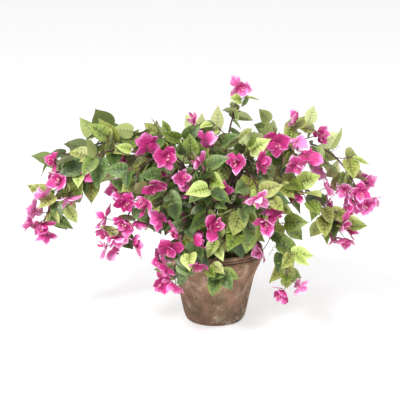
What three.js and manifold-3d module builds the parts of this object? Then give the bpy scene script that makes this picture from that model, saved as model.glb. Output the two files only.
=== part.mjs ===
// A bougainvillea bush of cloth leaves and bracts on wire stems, standing in an aged clay pot.
//
// Every bough leaves one short stem inside the bush, rises, arches over and hangs down to its tip.
// Its outer part carries a spray of foliage: twigs that turn round the stem by the golden angle,
// with stalked leaves along them and a head of three bracts at the end of those that bloom.
// A leaf, twig or head is only kept where it lies in its own spray's space, off every other stem
// and clear of all that is there already.
//
// Units are millimetres, +Z is up, and the origin is the centre of the pot's flat underside.

import * as THREE from "three";
import { mergeVertices } from "three/addons/utils/BufferGeometryUtils.js";
import Module from "manifold-3d";

const wasm = await Module();
wasm.setup();

// ---------------------------------------------------------------- driving dimensions

const GAP = 0.3; // between parts that stand against each other
const UP = new THREE.Vector3(0, 0, 1);
const GOLDEN_ANGLE = THREE.MathUtils.degToRad(137.5);
const THIRD = (2 * Math.PI) / 3;

// The pot's outside from the middle of its underside to the mouth's inner edge: [radius, height].
const POT = {
  profile: [
    [0, 0],
    [44.5, 0],
    [48.9, 5],
    [63.5, 72.7],
    [69.6, 88.6],
    [75.8, 101.4],
    [78.6, 109],
    [77.6, 112],
    [75.4, 113.6],
    [76.2, 115],
    [75.6, 120],
    [73.5, 123],
    [70.2, 121.5],
  ],
  cavity: [
    [68.5, 110],
    [57.5, 72.7],
    [43.9, 10],
  ],
  floor: 10,
  segments: 32,
};

// The moss and ballast that fill the pot, level over the flat and falling to the wall.
const FILL = { top: 112, flat: 16 };

const STEM = {
  foot: FILL.top + GAP,
  top: 172,
  footRadius: 11,
  topRadius: 7.5,
  crownRadius: 4.5,
  flare: 13.5,
  flareHeight: 5,
  round: 4,
  lean: 1.5,
  sides: 12,
};
const TIER_HEIGHTS = [124, 138, 151, 164]; // where boughs leave the stem

const BOUGH = { root: 1.9, end: 1.5, sides: 4, steps: 14, inside: 3 };
const SPRAY = { root: 2.4, tip: 1.9, sides: 3, inset: 4, outset: 10 };
const TWIG = {
  root: 0.9,
  tip: 0.7,
  pitch: 30,
  least: 28,
  most: 46,
  shorter: 0.35,
  leanLeast: 0.8,
  leanMost: 1.15,
  hang: 0.12,
  tries: 8,
  clear: 4.5,
};
const LEAF = {
  length: 48,
  slim: 0.76,
  broad: 0.88,
  stalk: 7.5,
  stalkRoot: 0.3,
  stalkEnd: 0.6,
  sunk: 0.8,
  thickness: 1.0,
  fold: 0.14,
  droop: 0.12,
  tries: 7,
  clear: 5.8,
  stemClear: 3,
};
const HEAD = {
  bract: 21,
  widest: 0.55,
  spread: 0.42,
  cup: 0.3,
  open: 62,
  hub: 1.4,
  valley: 4,
  radius: 13.8,
  lift: 4,
  clear: 2,
  crowd: 26,
};
const CLUSTER = { reach: 23, single: 10, spread: 1, singleSpread: 0.2, root: 2 };

const SIMPLE = 0.01; // joined solids lose the corners that lie this close to flat
const LIMB_CLEAR = 5.5; // from any point of a leaf, twig or head to another spray's stem
const KIN = 0.7; // the share of a clearance that is kept within one spray
const SLACK = 22; // how far a spray may reach past the middle between two stems
const LOWEST = 30; // nothing of the crown hangs lower than this
const POT_CLEAR = 4;
const STEM_CLEAR = 14;

// The bush is dressed for its two broad sides: the way out of one of them, how far blades turn to the
// nearer one, the depth at which they turn over, and the depth that the turning takes.
const BROAD = { side: new THREE.Vector3(0, 1, 0), share: 0.75, middle: 20, blend: 40 };

// Where a twig is tested, as shares of its length.
const TWIG_CHECKS = [0.3, 0.55, 0.78, 1];

// Where a blade is tested: along its length and across its width, as shares of them.
const BLADE_CHECKS = [
  [0.08, 0],
  [0.24, -0.38],
  [0.24, -0.19],
  [0.24, 0],
  [0.24, 0.19],
  [0.24, 0.38],
  [0.45, -0.48],
  [0.45, -0.24],
  [0.45, 0],
  [0.45, 0.24],
  [0.45, 0.48],
  [0.66, -0.34],
  [0.66, -0.12],
  [0.66, 0.12],
  [0.66, 0.34],
  [0.84, -0.14],
  [0.84, 0.14],
  [1, 0],
];

// Each bough: its name, the tier of the stem it leaves, its azimuth (0 is +X, 270 the front), how far
// out its tip is, the height of its crest and of its tip, the bare share of its length, the size of
// its leaves, how freely it blooms, how many heads close its tip, and its seed.
const BOUGHS = [
  ["left_far", 1, 187, 272, 290, 174, 0.34, 1, 0.9, 3, 604],
  ["left_upper", 2, 167, 262, 284, 236, 0.34, 1, 0.4, 1, 2],
  ["left_low", 0, 212, 178, 240, 160, 0.26, 0.95, 0.9, 3, 635],
  ["left_mid", 2, 204, 150, 281, 226, 0.22, 1, 0.6, 1, 426],
  ["front_left", 0, 243, 138, 212, 117, 0.2, 0.9, 1, 3, 942],
  ["front", 0, 270, 112, 203, 106, 0.3, 0.85, 0.3, 0, 379],
  ["front_right", 0, 297, 112, 209, 178, 0.18, 1, 0.4, 0, 720],
  ["right_low", 0, 322, 142, 189, 97, 0.3, 0.9, 0.4, 2, 482],
  ["right_mid", 0, 350, 195, 240, 162, 0.28, 1, 0.7, 3, 460],
  ["right_arch", 1, 3, 232, 293, 205, 0.34, 1, 0.8, 3, 185],
  ["right_upper", 2, 24, 190, 285, 253, 0.32, 0.9, 0.3, 0, 11],
  ["upright_right", 2, 345, 125, 303, 282, 0.22, 0.9, 0.5, 2, 115],
  ["top", 3, 45, 50, 301, 366, 0.4, 0.65, 0.2, 1, 249],
  ["upright_left", 3, 180, 112, 300, 284, 0.22, 1, 0.4, 1, 764],
  ["middle_left", 1, 230, 128, 265, 205, 0.18, 1, 0.8, 1, 976],
  ["middle_front", 1, 262, 105, 257, 200, 0.16, 0.95, 1, 2, 470],
  ["middle_right", 1, 308, 120, 265, 199, 0.18, 1, 1, 1, 17],
  ["high_front", 3, 242, 80, 272, 245, 0.16, 0.95, 0.9, 1, 116],
  ["high_right", 3, 318, 82, 275, 253, 0.16, 0.95, 1, 1, 19],
  ["crown", 3, 115, 60, 292, 295, 0.18, 0.9, 0.3, 0, 299],
  ["back_right", 1, 49, 185, 260, 195, 0.32, 1, 0.7, 2, 21],
  ["back_low_right", 0, 68, 180, 225, 130, 0.32, 1, 0.7, 2, 22],
  ["back", 2, 90, 185, 265, 200, 0.32, 1, 0.6, 2, 23],
  ["back_low_left", 0, 114, 180, 230, 135, 0.32, 1, 0.7, 2, 24],
  ["back_left", 1, 138, 195, 265, 190, 0.32, 1, 0.7, 2, 25],
];

// ---------------------------------------------------------------- the growth rule

// Numbers that look random and are the same on every run.
class Dice {
  constructor(seed) {
    this.state = 7919 * seed + 17;
    for (let k = 0; k < 4; k += 1) this.roll();
  }

  roll() {
    this.state = (Math.imul(this.state, 1664525) + 1013904223) >>> 0;
    return this.state / 2 ** 32;
  }

  between(low, high) {
    return low + (high - low) * this.roll();
  }
}

// A sum of vectors, each taken by its own share.
const mix = (...terms) => {
  const sum = new THREE.Vector3();
  for (const [vector, share] of terms) sum.addScaledVector(vector, share);
  return sum;
};

const taper = (from, to, share) => from + (to - from) * share;

// The round stem's radius at a height, without the flare at its foot.
function stemRadius(z) {
  return taper(STEM.footRadius, STEM.topRadius, (z - FILL.top) / (STEM.top - FILL.top));
}

// One bough and the spray's stem that goes on from it: a curve that rises, arches over and hangs.
class Spray {
  constructor([name, tier, azimuth, reach, crest, tip, bare, leaf, bloom, cluster, seed]) {
    this.name = name;
    this.leafSize = leaf;
    this.bloom = bloom;
    this.cluster = cluster;
    this.dice = new Dice(seed);
    this.twigs = [];
    this.leaves = [];
    const turn = THREE.MathUtils.degToRad(azimuth);
    this.out = new THREE.Vector3(Math.cos(turn), Math.sin(turn), 0);
    this.side = new THREE.Vector3(-Math.sin(turn), Math.cos(turn), 0);
    const foot = TIER_HEIGHTS[tier];
    const top = (crest - (foot + tip) / 8) / 0.75; // the handles' height that puts the crest there
    const sway = this.dice.between(-0.1, 0.1) * reach;
    const start = stemRadius(foot) + GAP;
    const at = (radius, z, aside) => mix([this.out, radius], [this.side, aside], [UP, z]);
    const curve = new THREE.CubicBezierCurve3(
      at(start, foot, 0),
      at(start + reach / 4, taper(foot, top, 0.9), sway),
      at(reach * 0.75, top, sway),
      at(reach, tip, 0),
    );
    this.points = curve.getPoints(BOUGH.steps);
    this.along = [0];
    for (let k = 0; k < BOUGH.steps; k += 1) {
      this.along.push(this.along[k] + this.points[k].distanceTo(this.points[k + 1]));
    }
    this.length = this.along[BOUGH.steps];
    this.start = this.length * bare;
  }

  // The point and direction at a length from the bough's root.
  at(length) {
    const s = Math.min(Math.max(length, 0), this.length);
    let k = 0;
    while (k < BOUGH.steps - 1 && this.along[k + 1] <= s) k += 1;
    const share = (s - this.along[k]) / (this.along[k + 1] - this.along[k]);
    const step = this.points[k + 1].clone().sub(this.points[k]);
    return [mix([this.points[k], 1], [step, share]), step.normalize()];
  }

  // The point and direction at a share of the leafy part, kept off both its ends.
  atShare(share) {
    return this.at(this.start + SPRAY.inset + (this.length - this.start - SPRAY.outset) * share);
  }

  // A direction square to a tangent, turned round it from level towards upward.
  away(tangent, turn) {
    const level = Math.abs(tangent.z) < 0.98 ? tangent.clone().cross(UP).normalize() : this.side;
    const over = level.clone().cross(tangent);
    return mix([level, Math.cos(turn)], [over, Math.sin(turn)]);
  }

  // The distance from a point to the stem, or to its leafy part only.
  gap(p, leafyOnly) {
    let least = Infinity;
    for (let k = 0; k < BOUGH.steps; k += 1) {
      if (leafyOnly && this.along[k + 1] <= this.start) continue;
      const a = this.points[k];
      const b = this.points[k + 1];
      const dx = b.x - a.x;
      const dy = b.y - a.y;
      const dz = b.z - a.z;
      const reach = (p.x - a.x) * dx + (p.y - a.y) * dy + (p.z - a.z) * dz;
      const t = Math.min(Math.max(reach / (dx * dx + dy * dy + dz * dz), 0), 1);
      const x = p.x - a.x - dx * t;
      const y = p.y - a.y - dy * t;
      const z = p.z - a.z - dz * t;
      least = Math.min(least, x * x + y * y + z * z);
    }
    return Math.sqrt(least);
  }
}

// A point of a blade, from shares of its length and width: folded along its rib, drooping at its tip.
function bladePoint(leaf, u, w) {
  const lift = LEAF.fold * Math.abs(w) - LEAF.droop * u * u;
  return mix(
    [leaf.base, 1],
    [leaf.along, leaf.length * u],
    [leaf.across, leaf.width * w],
    [leaf.face, leaf.length * lift],
  );
}

// The pot's outside radius at a height, taken as one cone from its heel to its lip.
function potRadius(z) {
  const [, , heel] = POT.profile;
  const lip = POT.profile[6];
  return taper(heel[0], lip[0], Math.min(z, lip[1]) / lip[1]);
}

// All the sprays as they grow, side by side.
class Crown {
  constructor(rows) {
    this.sprays = rows.map((row) => new Spray(row));
    this.taken = [];
    for (const spray of this.sprays) this.tip(spray);
    this.round();
  }

  // Every spray takes its turn, from its tip inwards: twigs and blossom first, then leaves.
  round() {
    for (const spray of this.sprays) {
      spray.count = Math.max(2, Math.round((spray.length - spray.start) / TWIG.pitch));
      spray.phase = spray.dice.between(0, 2 * Math.PI);
    }
    const rounds = Math.max(...this.sprays.map((spray) => spray.count));
    const turns = [];
    for (let turn = 0; turn < rounds; turn += 1) {
      for (const spray of this.sprays) {
        if (turn < spray.count) turns.push({ spray, k: spray.count - 1 - turn });
      }
    }
    for (const turn of turns) turn.shoot = this.shoot(turn.spray, turn.k);
    for (const turn of turns) this.dress(turn.spray, turn.k, turn.shoot);
  }

  // True where every point lies in the spray's own space, off other stems, the pot and the floor.
  owns(spray, points) {
    for (const p of points) {
      const own = spray.gap(p, false);
      for (const other of this.sprays) {
        if (other === spray) continue;
        if (other.gap(p, false) < LIMB_CLEAR) return false;
        if (own > other.gap(p, true) + SLACK) return false;
      }
      const radius = Math.hypot(p.x, p.y);
      const potTop = POT.profile.at(-2)[1];
      if (p.z < LOWEST) return false;
      if (p.z < potTop + POT_CLEAR && radius < potRadius(p.z) + POT_CLEAR) return false;
      if (p.z < STEM.top + POT_CLEAR && radius < STEM_CLEAR) return false;
    }
    return true;
  }

  // True where balls of one radius round the points keep this clear of all that is there already.
  // What grows on the same spray may come closer, and two of its heads may crowd each other.
  free(spray, points, radius, clear) {
    for (const p of points) {
      for (const ball of this.taken) {
        const kin = ball.spray === spray;
        const heads = radius > 0 && ball.radius > 0;
        const least = kin && heads ? HEAD.crowd : radius + ball.radius + clear * (kin ? KIN : 1);
        if (p.distanceToSquared(ball.point) <= least * least) return false;
      }
    }
    return true;
  }

  take(spray, points, radius) {
    for (const point of points) this.taken.push({ spray, point, radius });
  }

  // One twig off the stem, turned until it fits, with its head of bracts if it blooms.
  shoot(spray, k) {
    const dice = spray.dice;
    const share = (k + 0.5) / spray.count;
    const [root, tangent] = spray.atShare(share);
    const blooms = dice.roll() < spray.bloom * (0.35 + 0.65 * share);
    const length = dice.between(TWIG.least, TWIG.most) * (1.1 - TWIG.shorter * share);
    const lean = dice.between(TWIG.leanLeast, TWIG.leanMost);
    for (let attempt = 0; attempt < TWIG.tries; attempt += 1) {
      const away = spray.away(tangent, spray.phase + k * GOLDEN_ANGLE + (attempt * Math.PI) / 4);
      const direction = mix(
        [tangent, Math.cos(lean)],
        [away, Math.sin(lean)],
        [UP, -TWIG.hang],
      ).normalize();
      const end = mix([root, 1], [direction, length]);
      const run = TWIG_CHECKS.map((s) => root.clone().lerp(end, s));
      if (!this.owns(spray, run) || !this.free(spray, run.slice(1), 0, TWIG.clear)) continue;
      let head = null;
      if (blooms) {
        head = this.head(spray, end, direction, dice.between(0.85, 1.1));
        if (!head && attempt < TWIG.tries - 1) continue;
      }
      spray.twigs.push({ root, end, head });
      this.take(spray, run, 0);
      const lateral = direction.clone().cross(tangent).normalize();
      return { run, end, direction, lateral, head };
    }
    return null;
  }

  // The leaves of one twig, and one leaf straight on the stem across from it.
  dress(spray, k, shoot) {
    const dice = spray.dice;
    const share = (k + 0.5) / spray.count;
    const size = 1.05 - 0.25 * share;
    if (shoot) {
      const { run, end, direction, lateral, head } = shoot;
      const last = mix([end, 1], [direction, -LEAF.sunk]);
      if (!head) this.leaf(spray, last, direction, mix([lateral, 0.2]), size * dice.between(0.65, 0.9));
      this.leaf(spray, run[1], direction, lateral, size * dice.between(0.85, 1.1));
      this.leaf(spray, run[2], direction, mix([lateral, -1]), size * dice.between(0.75, 1.05));
    }
    const [root, tangent] = spray.atShare(share + 0.5 / spray.count);
    const away = spray.away(tangent, spray.phase + k * GOLDEN_ANGLE + Math.PI);
    this.leaf(spray, root, tangent, away, (1 - 0.3 * share) * dice.between(0.8, 1.1));
  }

  // The end of a spray: a cluster of heads, or a last leaf, with two leaves behind.
  tip(spray) {
    const dice = spray.dice;
    const [end, tangent] = spray.at(spray.length);
    const crowded = spray.cluster > 1;
    for (let k = 0; k < spray.cluster; k += 1) {
      const away = spray.away(tangent, k * THIRD + dice.between(-0.4, 0.4));
      const spread = crowded ? CLUSTER.spread : CLUSTER.singleSpread;
      const direction = mix([tangent, 1], [away, spread]).normalize();
      const centre = mix([end, 1], [direction, crowded ? CLUSTER.reach : CLUSTER.single]);
      const head = this.head(spray, centre, direction, dice.between(0.9, 1.1));
      if (head) spray.twigs.push({ root: mix([end, 1], [tangent, -CLUSTER.root]), end: centre, head });
    }
    if (!spray.cluster) {
      const last = mix([end, 1], [tangent, -LEAF.sunk]);
      this.leaf(spray, last, tangent, mix([spray.away(tangent, 0), 0.1]), dice.between(0.6, 0.8));
    }
    for (let k = 0; k < 2; k += 1) {
      const [root, onward] = spray.at(spray.length - 5 - 8 * k);
      const away = spray.away(onward, k * Math.PI + 1 + dice.between(-0.5, 0.5));
      this.leaf(spray, root, onward, away, dice.between(0.55, 0.8));
    }
  }

  // One stalked leaf, tried at several angles: its blade faces up, away from the plant's middle, and
  // out of the nearer of the two broad sides that the bush was dressed for.
  leaf(spray, root, direction, lateral, share) {
    const dice = spray.dice;
    const size = share * spray.leafSize;
    const length = LEAF.length * size;
    const width = length * dice.between(LEAF.slim, LEAF.broad);
    dice.roll(); // the tint
    const radius = Math.hypot(root.x, root.y) + 20;
    const radial = new THREE.Vector3(root.x / radius, root.y / radius, 0);
    const broad = Math.min(Math.max((root.y - BROAD.middle) / BROAD.blend, -1), 1);
    for (let attempt = 0; attempt < LEAF.tries; attempt += 1) {
      const [a, b, c] = [dice.between(-1, 1), dice.between(-1, 1), dice.between(-1, 1)];
      const along = mix(
        [direction, 0.55],
        [lateral, 0.8 + 0.12 * attempt],
        [UP, -0.35],
        [new THREE.Vector3(a, b, c), 0.25 + 0.1 * attempt],
      ).normalize();
      const face = mix(
        [radial, 0.45],
        [BROAD.side, BROAD.share * broad],
        [UP, 0.4],
        [lateral, 0.2],
        [new THREE.Vector3(b, c, a), 0.5],
      );
      face.addScaledVector(along, -face.dot(along));
      if (face.lengthSq() < 0.04) continue;
      face.normalize();
      const across = face.clone().cross(along);
      const base = mix([root, 1], [along, LEAF.stalk * size]);
      const leaf = { root, base, along, face, across, length, width };
      const points = BLADE_CHECKS.map(([u, w]) => bladePoint(leaf, u, w));
      if (!this.owns(spray, points)) continue;
      if (points.slice(1).some((p) => spray.gap(p, false) < LEAF.stemClear)) continue;
      if (!this.free(spray, points, 0, LEAF.clear)) continue;
      this.take(spray, points, 0);
      spray.leaves.push(leaf);
      return;
    }
  }

  // One head of bracts, kept if a ball round it is free.
  head(spray, centre, axis, size) {
    const spin = spray.dice.between(0, 2 * Math.PI);
    spray.dice.roll(); // the tint
    const middle = mix([centre, 1], [axis, HEAD.lift]);
    const radius = HEAD.radius * size;
    const points = [middle];
    for (const side of [-radius, radius]) {
      points.push(middle.clone().add(new THREE.Vector3(side, 0, 0)));
      points.push(middle.clone().add(new THREE.Vector3(0, side, 0)));
      points.push(middle.clone().add(new THREE.Vector3(0, 0, side)));
    }
    if (!this.owns(spray, points) || !this.free(spray, [middle], radius, HEAD.clear)) return null;
    this.take(spray, [middle], radius);
    return { axis, size, spin };
  }
}

// ---------------------------------------------------------------- solids

// A BufferGeometry from corner points and triangles.
function surface(points, triangles) {
  const geometry = new THREE.BufferGeometry().setFromPoints(points);
  geometry.setIndex(triangles.flat());
  return geometry;
}

// A closed mesh, its shared corners merged, as a solid.
function solid(geometry) {
  const bare = geometry.clone();
  bare.deleteAttribute("normal");
  bare.deleteAttribute("uv");
  const merged = mergeVertices(bare, 1e-4);
  return new wasm.Manifold(
    new wasm.Mesh({
      numProp: 3,
      vertProperties: new Float32Array(merged.attributes.position.array),
      triVerts: new Uint32Array(merged.index.array),
    }),
  );
}

// Back from a solid to a flat-shaded geometry.
function faceted(body) {
  const mesh = body.getMesh();
  const geometry = new THREE.BufferGeometry();
  geometry.setAttribute("position", new THREE.BufferAttribute(mesh.vertProperties, 3));
  geometry.setIndex(new THREE.BufferAttribute(mesh.triVerts, 1));
  geometry.computeVertexNormals();
  return geometry;
}

// A closed tube through rings of as many corners each, with flat ends.
function tube(rings) {
  const sides = rings[0].length;
  const last = (rings.length - 1) * sides;
  const triangles = [];
  for (let k = 0; k < last; k += sides) {
    for (let j = 0; j < sides; j += 1) {
      const next = (j + 1) % sides;
      triangles.push([k + j, k + next, k + sides + next], [k + j, k + sides + next, k + sides + j]);
    }
  }
  for (let j = 1; j < sides - 1; j += 1) {
    triangles.push([0, j + 1, j], [last, last + j, last + j + 1]);
  }
  return surface(rings.flat(), triangles);
}

// The corners of a ring round a centre, in the plane of two directions.
function ring(centre, across, beside, radius, sides) {
  return Array.from({ length: sides }, (_, j) => {
    const turn = (2 * Math.PI * j) / sides;
    return mix([centre, 1], [across, radius * Math.cos(turn)], [beside, radius * Math.sin(turn)]);
  });
}

// A direction to start a ring from, square to an axis.
function squareTo(axis) {
  const start = Math.abs(axis.z) < 0.9 ? UP : new THREE.Vector3(1, 0, 0);
  return mix([start, 1], [axis, -start.dot(axis)]).normalize();
}

// A tapering limb through a row of points, its radius falling evenly from the first to the last.
function limb(points, root, end, sides) {
  let across = null;
  const rings = points.map((point, k) => {
    const before = points[Math.max(k - 1, 0)];
    const after = points[Math.min(k + 1, points.length - 1)];
    const tangent = after.clone().sub(before).normalize();
    across = across ? mix([across, 1], [tangent, -across.dot(tangent)]).normalize() : squareTo(tangent);
    const radius = taper(root, end, k / (points.length - 1));
    return ring(point, across, tangent.clone().cross(across), radius, sides);
  });
  return tube(rings);
}

// A leaf and its three-sided stalk as one closed surface: a folded blade, thickest at its middle.
function leafSurface(leaf) {
  const stalk = (centre, radius) => [
    mix([centre, 1], [leaf.across, radius], [leaf.face, radius / 2]),
    mix([centre, 1], [leaf.across, -radius], [leaf.face, radius / 2]),
    mix([centre, 1], [leaf.face, -radius]),
  ];
  const middle = bladePoint(leaf, 0.38, 0);
  const corners = [
    ...stalk(leaf.root, LEAF.stalkRoot),
    ...stalk(leaf.base, LEAF.stalkEnd),
    bladePoint(leaf, 0.12, -0.38),
    bladePoint(leaf, 0.45, -0.5),
    bladePoint(leaf, 1, 0),
    bladePoint(leaf, 0.45, 0.5),
    bladePoint(leaf, 0.12, 0.38),
    mix([middle, 1], [leaf.face, LEAF.thickness / 2]),
    mix([middle, 1], [leaf.face, -LEAF.thickness / 2]),
  ];
  const [top, bottom] = [11, 12];
  const upper = [4, 6, 7, 8, 9, 10, 3];
  const lower = [...upper, 5];
  const sides = [
    [1, 4, 3, 0],
    [0, 3, 5, 2],
    [2, 5, 4, 1],
  ];
  const triangles = [
    [1, 0, 2],
    ...sides.flatMap(([a, b, c, d]) => [[a, b, c], [a, c, d]]),
    ...upper.map((a, k) => [top, a, upper[(k + 1) % upper.length]]),
    ...lower.map((a, k) => [bottom, lower[(k + 1) % lower.length], a]),
  ];
  return surface(corners, triangles);
}

// A twig on its own, or one that ends in a head of bracts.
function twigSurface(twig) {
  if (twig.head) return bloomSurface(twig);
  return limb([twig.root, twig.end], TWIG.root, TWIG.tip, SPRAY.sides);
}

// A twig that ends in a head of three cupped bracts, as one closed surface.
function bloomSurface({ root, end, head }) {
  const length = HEAD.bract * head.size;
  const open = THREE.MathUtils.degToRad(HEAD.open);
  const start = Math.abs(head.axis.z) < 0.9 ? UP : new THREE.Vector3(1, 0, 0);
  const level = start.clone().cross(head.axis).normalize();
  const beside = head.axis.clone().cross(level);
  const out = (angle) => mix([level, Math.cos(angle)], [beside, Math.sin(angle)]);
  const turns = [0, 1, 2].map((k) => head.spin + k * THIRD);
  const corners = [
    ...turns.map((turn) => mix([root, 1], [out(turn), TWIG.root])),
    ...turns.map((turn) => mix([end, 1], [head.axis, -HEAD.hub], [out(turn), TWIG.tip])),
  ];
  for (const turn of turns) {
    const along = mix([head.axis, Math.cos(open)], [out(turn), Math.sin(open)]);
    const across = head.axis.clone().cross(out(turn));
    const up = mix([head.axis, Math.sin(open)], [out(turn), -Math.cos(open)]);
    const at = (u, w) => {
      const lift = length * HEAD.cup * Math.abs(w);
      return mix([end, 1], [along, length * u], [across, length * w], [up, lift]);
    };
    corners.push(
      mix([end, 1], [out(turn - THIRD / 2), HEAD.valley], [head.axis, 1]),
      at(HEAD.widest, -HEAD.spread),
      at(1, 0),
      at(HEAD.widest, HEAD.spread),
    );
  }
  const top = corners.push(mix([end, 1], [head.axis, HEAD.hub])) - 1;
  const rim = (k) => 6 + (k % 12);
  const triangles = [[0, 2, 1]];
  for (let k = 0; k < 12; k += 1) {
    const j = Math.floor(k / 4);
    triangles.push([top, rim(k), rim(k + 1)], [3 + j, rim(k + 1), rim(k)]);
  }
  for (let j = 0; j < 3; j += 1) {
    const next = (j + 1) % 3;
    triangles.push([3 + j, 3 + next, rim(4 * next)]);
    triangles.push([j, next, 3 + next], [j, 3 + next, 3 + j]);
  }
  return surface(corners, triangles);
}

// ---------------------------------------------------------------- the nodes

// A turned solid about Z, from its profile of [radius, height] points.
function turned(profile) {
  const points = profile.map(([radius, z]) => new THREE.Vector2(radius, z));
  return new THREE.LatheGeometry(points, POT.segments).rotateX(Math.PI / 2);
}

function pot() {
  return turned([...POT.profile, ...POT.cavity, [0, POT.floor]]);
}

// What fills the pot: its cavity drawn in by a gap, with a flat seat for the stem on top.
function fill() {
  const wall = POT.cavity.map(([radius, z]) => [radius - GAP, z === POT.floor ? z + GAP : z]);
  return turned([[0, POT.floor + GAP], ...wall.reverse(), [FILL.flat, FILL.top], [0, FILL.top]]);
}

// Level rings of the stem, so that its foot is cut flat, leaning over from the foot up.
function stemTube(rings) {
  const [along, beside] = [new THREE.Vector3(1, 0, 0), new THREE.Vector3(0, 1, 0)];
  return tube(
    rings.map(([radius, z]) => {
      const lean = (STEM.lean * (z - STEM.foot)) / (STEM.top - STEM.foot);
      return ring(new THREE.Vector3(lean, 0, z), along, beside, radius, STEM.sides);
    }),
  );
}

// The stem's outside, as [radius, height]: flared at its foot, rounded over at its top.
function stemProfile() {
  const flareTop = STEM.foot + STEM.flareHeight;
  const shoulder = STEM.top - STEM.round;
  return [
    [STEM.flare, STEM.foot],
    [taper(STEM.flare, stemRadius(flareTop), 0.8), flareTop],
    [stemRadius(flareTop + STEM.flareHeight), flareTop + STEM.flareHeight],
    [stemRadius(shoulder), shoulder],
    [STEM.crownRadius, STEM.top],
  ];
}

// The stem with a gap all round, to be cut from the boughs' roots.
function stemRoom() {
  const gap = GAP / Math.cos(Math.PI / STEM.sides);
  const rings = stemProfile().map(([radius, z]) => [radius + gap, z]);
  return solid(stemTube([...rings, [STEM.crownRadius, STEM.top + GAP]]));
}

// The bare part of a bough, from inside the stem, whose room is then cut from it, to the spray.
function bough(spray, room) {
  const bare = spray.points.filter((_, k) => spray.along[k] < spray.start - 2);
  const points = [mix([bare[0], 1], [spray.out, -BOUGH.inside]), ...bare, spray.at(spray.start)[0]];
  return solid(limb(points, BOUGH.root, BOUGH.end, BOUGH.sides)).subtract(room);
}

// The spray: its stem with twigs, leaves and heads all joined.
function mass(spray) {
  const leafy = spray.points.filter((_, k) => spray.along[k] > spray.start + SPRAY.inset);
  const points = [spray.at(spray.start + GAP)[0], ...leafy];
  const pieces = [
    limb(points, SPRAY.root, SPRAY.tip, SPRAY.sides),
    ...spray.twigs.map(twigSurface),
    ...spray.leaves.map(leafSurface),
  ];
  return wasm.Manifold.union(pieces.map(solid)).asOriginal().simplify(SIMPLE);
}

const finish = (color, roughness) => new THREE.MeshStandardMaterial({ color, roughness, metalness: 0 });
const CLAY = finish(0xa07f69, 0.9);
const MOSS = finish(0x5a5336, 1);
const BARK = finish(0x4b3434, 0.8);
const FOLIAGE = [finish(0x4f6a3c, 0.7), finish(0x74843f, 0.7), finish(0x8f5468, 0.7)]; // leaf and blossom

const shrub = new THREE.Group();

function add(name, geometry, material) {
  const mesh = new THREE.Mesh(geometry, material);
  mesh.name = name;
  shrub.add(mesh);
}

const crown = new Crown(BOUGHS);
const room = stemRoom();
add("pot", pot(), CLAY);
add("pot_fill", fill(), MOSS);
add("stem", stemTube(stemProfile()), BARK);
crown.sprays.forEach((spray, k) => {
  add("bough_" + spray.name, faceted(bough(spray, room)), BARK);
  add("spray_" + spray.name, faceted(mass(spray)), FOLIAGE[k % FOLIAGE.length]);
});

export default shrub;
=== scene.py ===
"""A bougainvillea bush of cloth leaves and bracts on wire stems, in an aged clay pot: its looks.

The crown grows here by the rule that its solids grew by, with the same seeds, and then goes on to
finer twigs within the same reach. The rule works in millimetres, and every mesh is scaled to metres
when it is made. The pot, its moss and the short stem are turned anew with their relief.
"""

import logging
import math
from dataclasses import dataclass
from enum import Enum

import bpy
import numpy as np
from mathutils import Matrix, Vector, noise


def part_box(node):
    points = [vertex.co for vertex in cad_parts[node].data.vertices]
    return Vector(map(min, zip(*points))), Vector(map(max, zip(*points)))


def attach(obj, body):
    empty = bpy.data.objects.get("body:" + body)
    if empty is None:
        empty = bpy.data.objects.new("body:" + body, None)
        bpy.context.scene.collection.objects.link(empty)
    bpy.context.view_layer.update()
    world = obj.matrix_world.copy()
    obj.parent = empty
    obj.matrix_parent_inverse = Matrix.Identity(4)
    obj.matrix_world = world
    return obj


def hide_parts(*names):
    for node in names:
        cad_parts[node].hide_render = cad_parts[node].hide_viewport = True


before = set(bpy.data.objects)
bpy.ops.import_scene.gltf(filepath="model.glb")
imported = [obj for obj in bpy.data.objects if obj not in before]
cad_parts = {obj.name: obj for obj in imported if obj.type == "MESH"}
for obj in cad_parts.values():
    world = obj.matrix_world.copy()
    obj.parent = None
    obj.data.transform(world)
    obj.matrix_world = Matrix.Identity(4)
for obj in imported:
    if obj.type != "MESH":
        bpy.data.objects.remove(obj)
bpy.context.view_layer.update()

log = logging.getLogger("bougainvillea")

ROOT = "root"  # the one body of a plant with no joints
METRE = 0.001  # the rule's millimetres in metres
UP = np.array([0.0, 0.0, 1.0])
EAST = np.array([1.0, 0.0, 0.0])
FULL_TURN = 2 * math.pi
THIRD = FULL_TURN / 3
ANY_TURN = (0, FULL_TURN)
GOLDEN_ANGLE = math.radians(137.5)

Point = np.ndarray
Colour = tuple[float, float, float]


def paint(red: int, green: int, blue: int) -> Colour:
    """A display colour of 0 to 255 as the linear colour that a shader takes."""
    return tuple(((c / 255 + 0.055) / 1.055) ** 2.4 if c > 10 else c / 3295 for c in (red, green, blue))


def unit(vector: Point) -> Point:
    """The vector at length 1."""
    return vector / math.sqrt(float(vector @ vector))


def taper(start: float, end: float, share: float) -> float:
    """The value a share of the way from start to end."""
    return start + (end - start) * share


# ---------------------------------------------------------------- shader nodes


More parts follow.
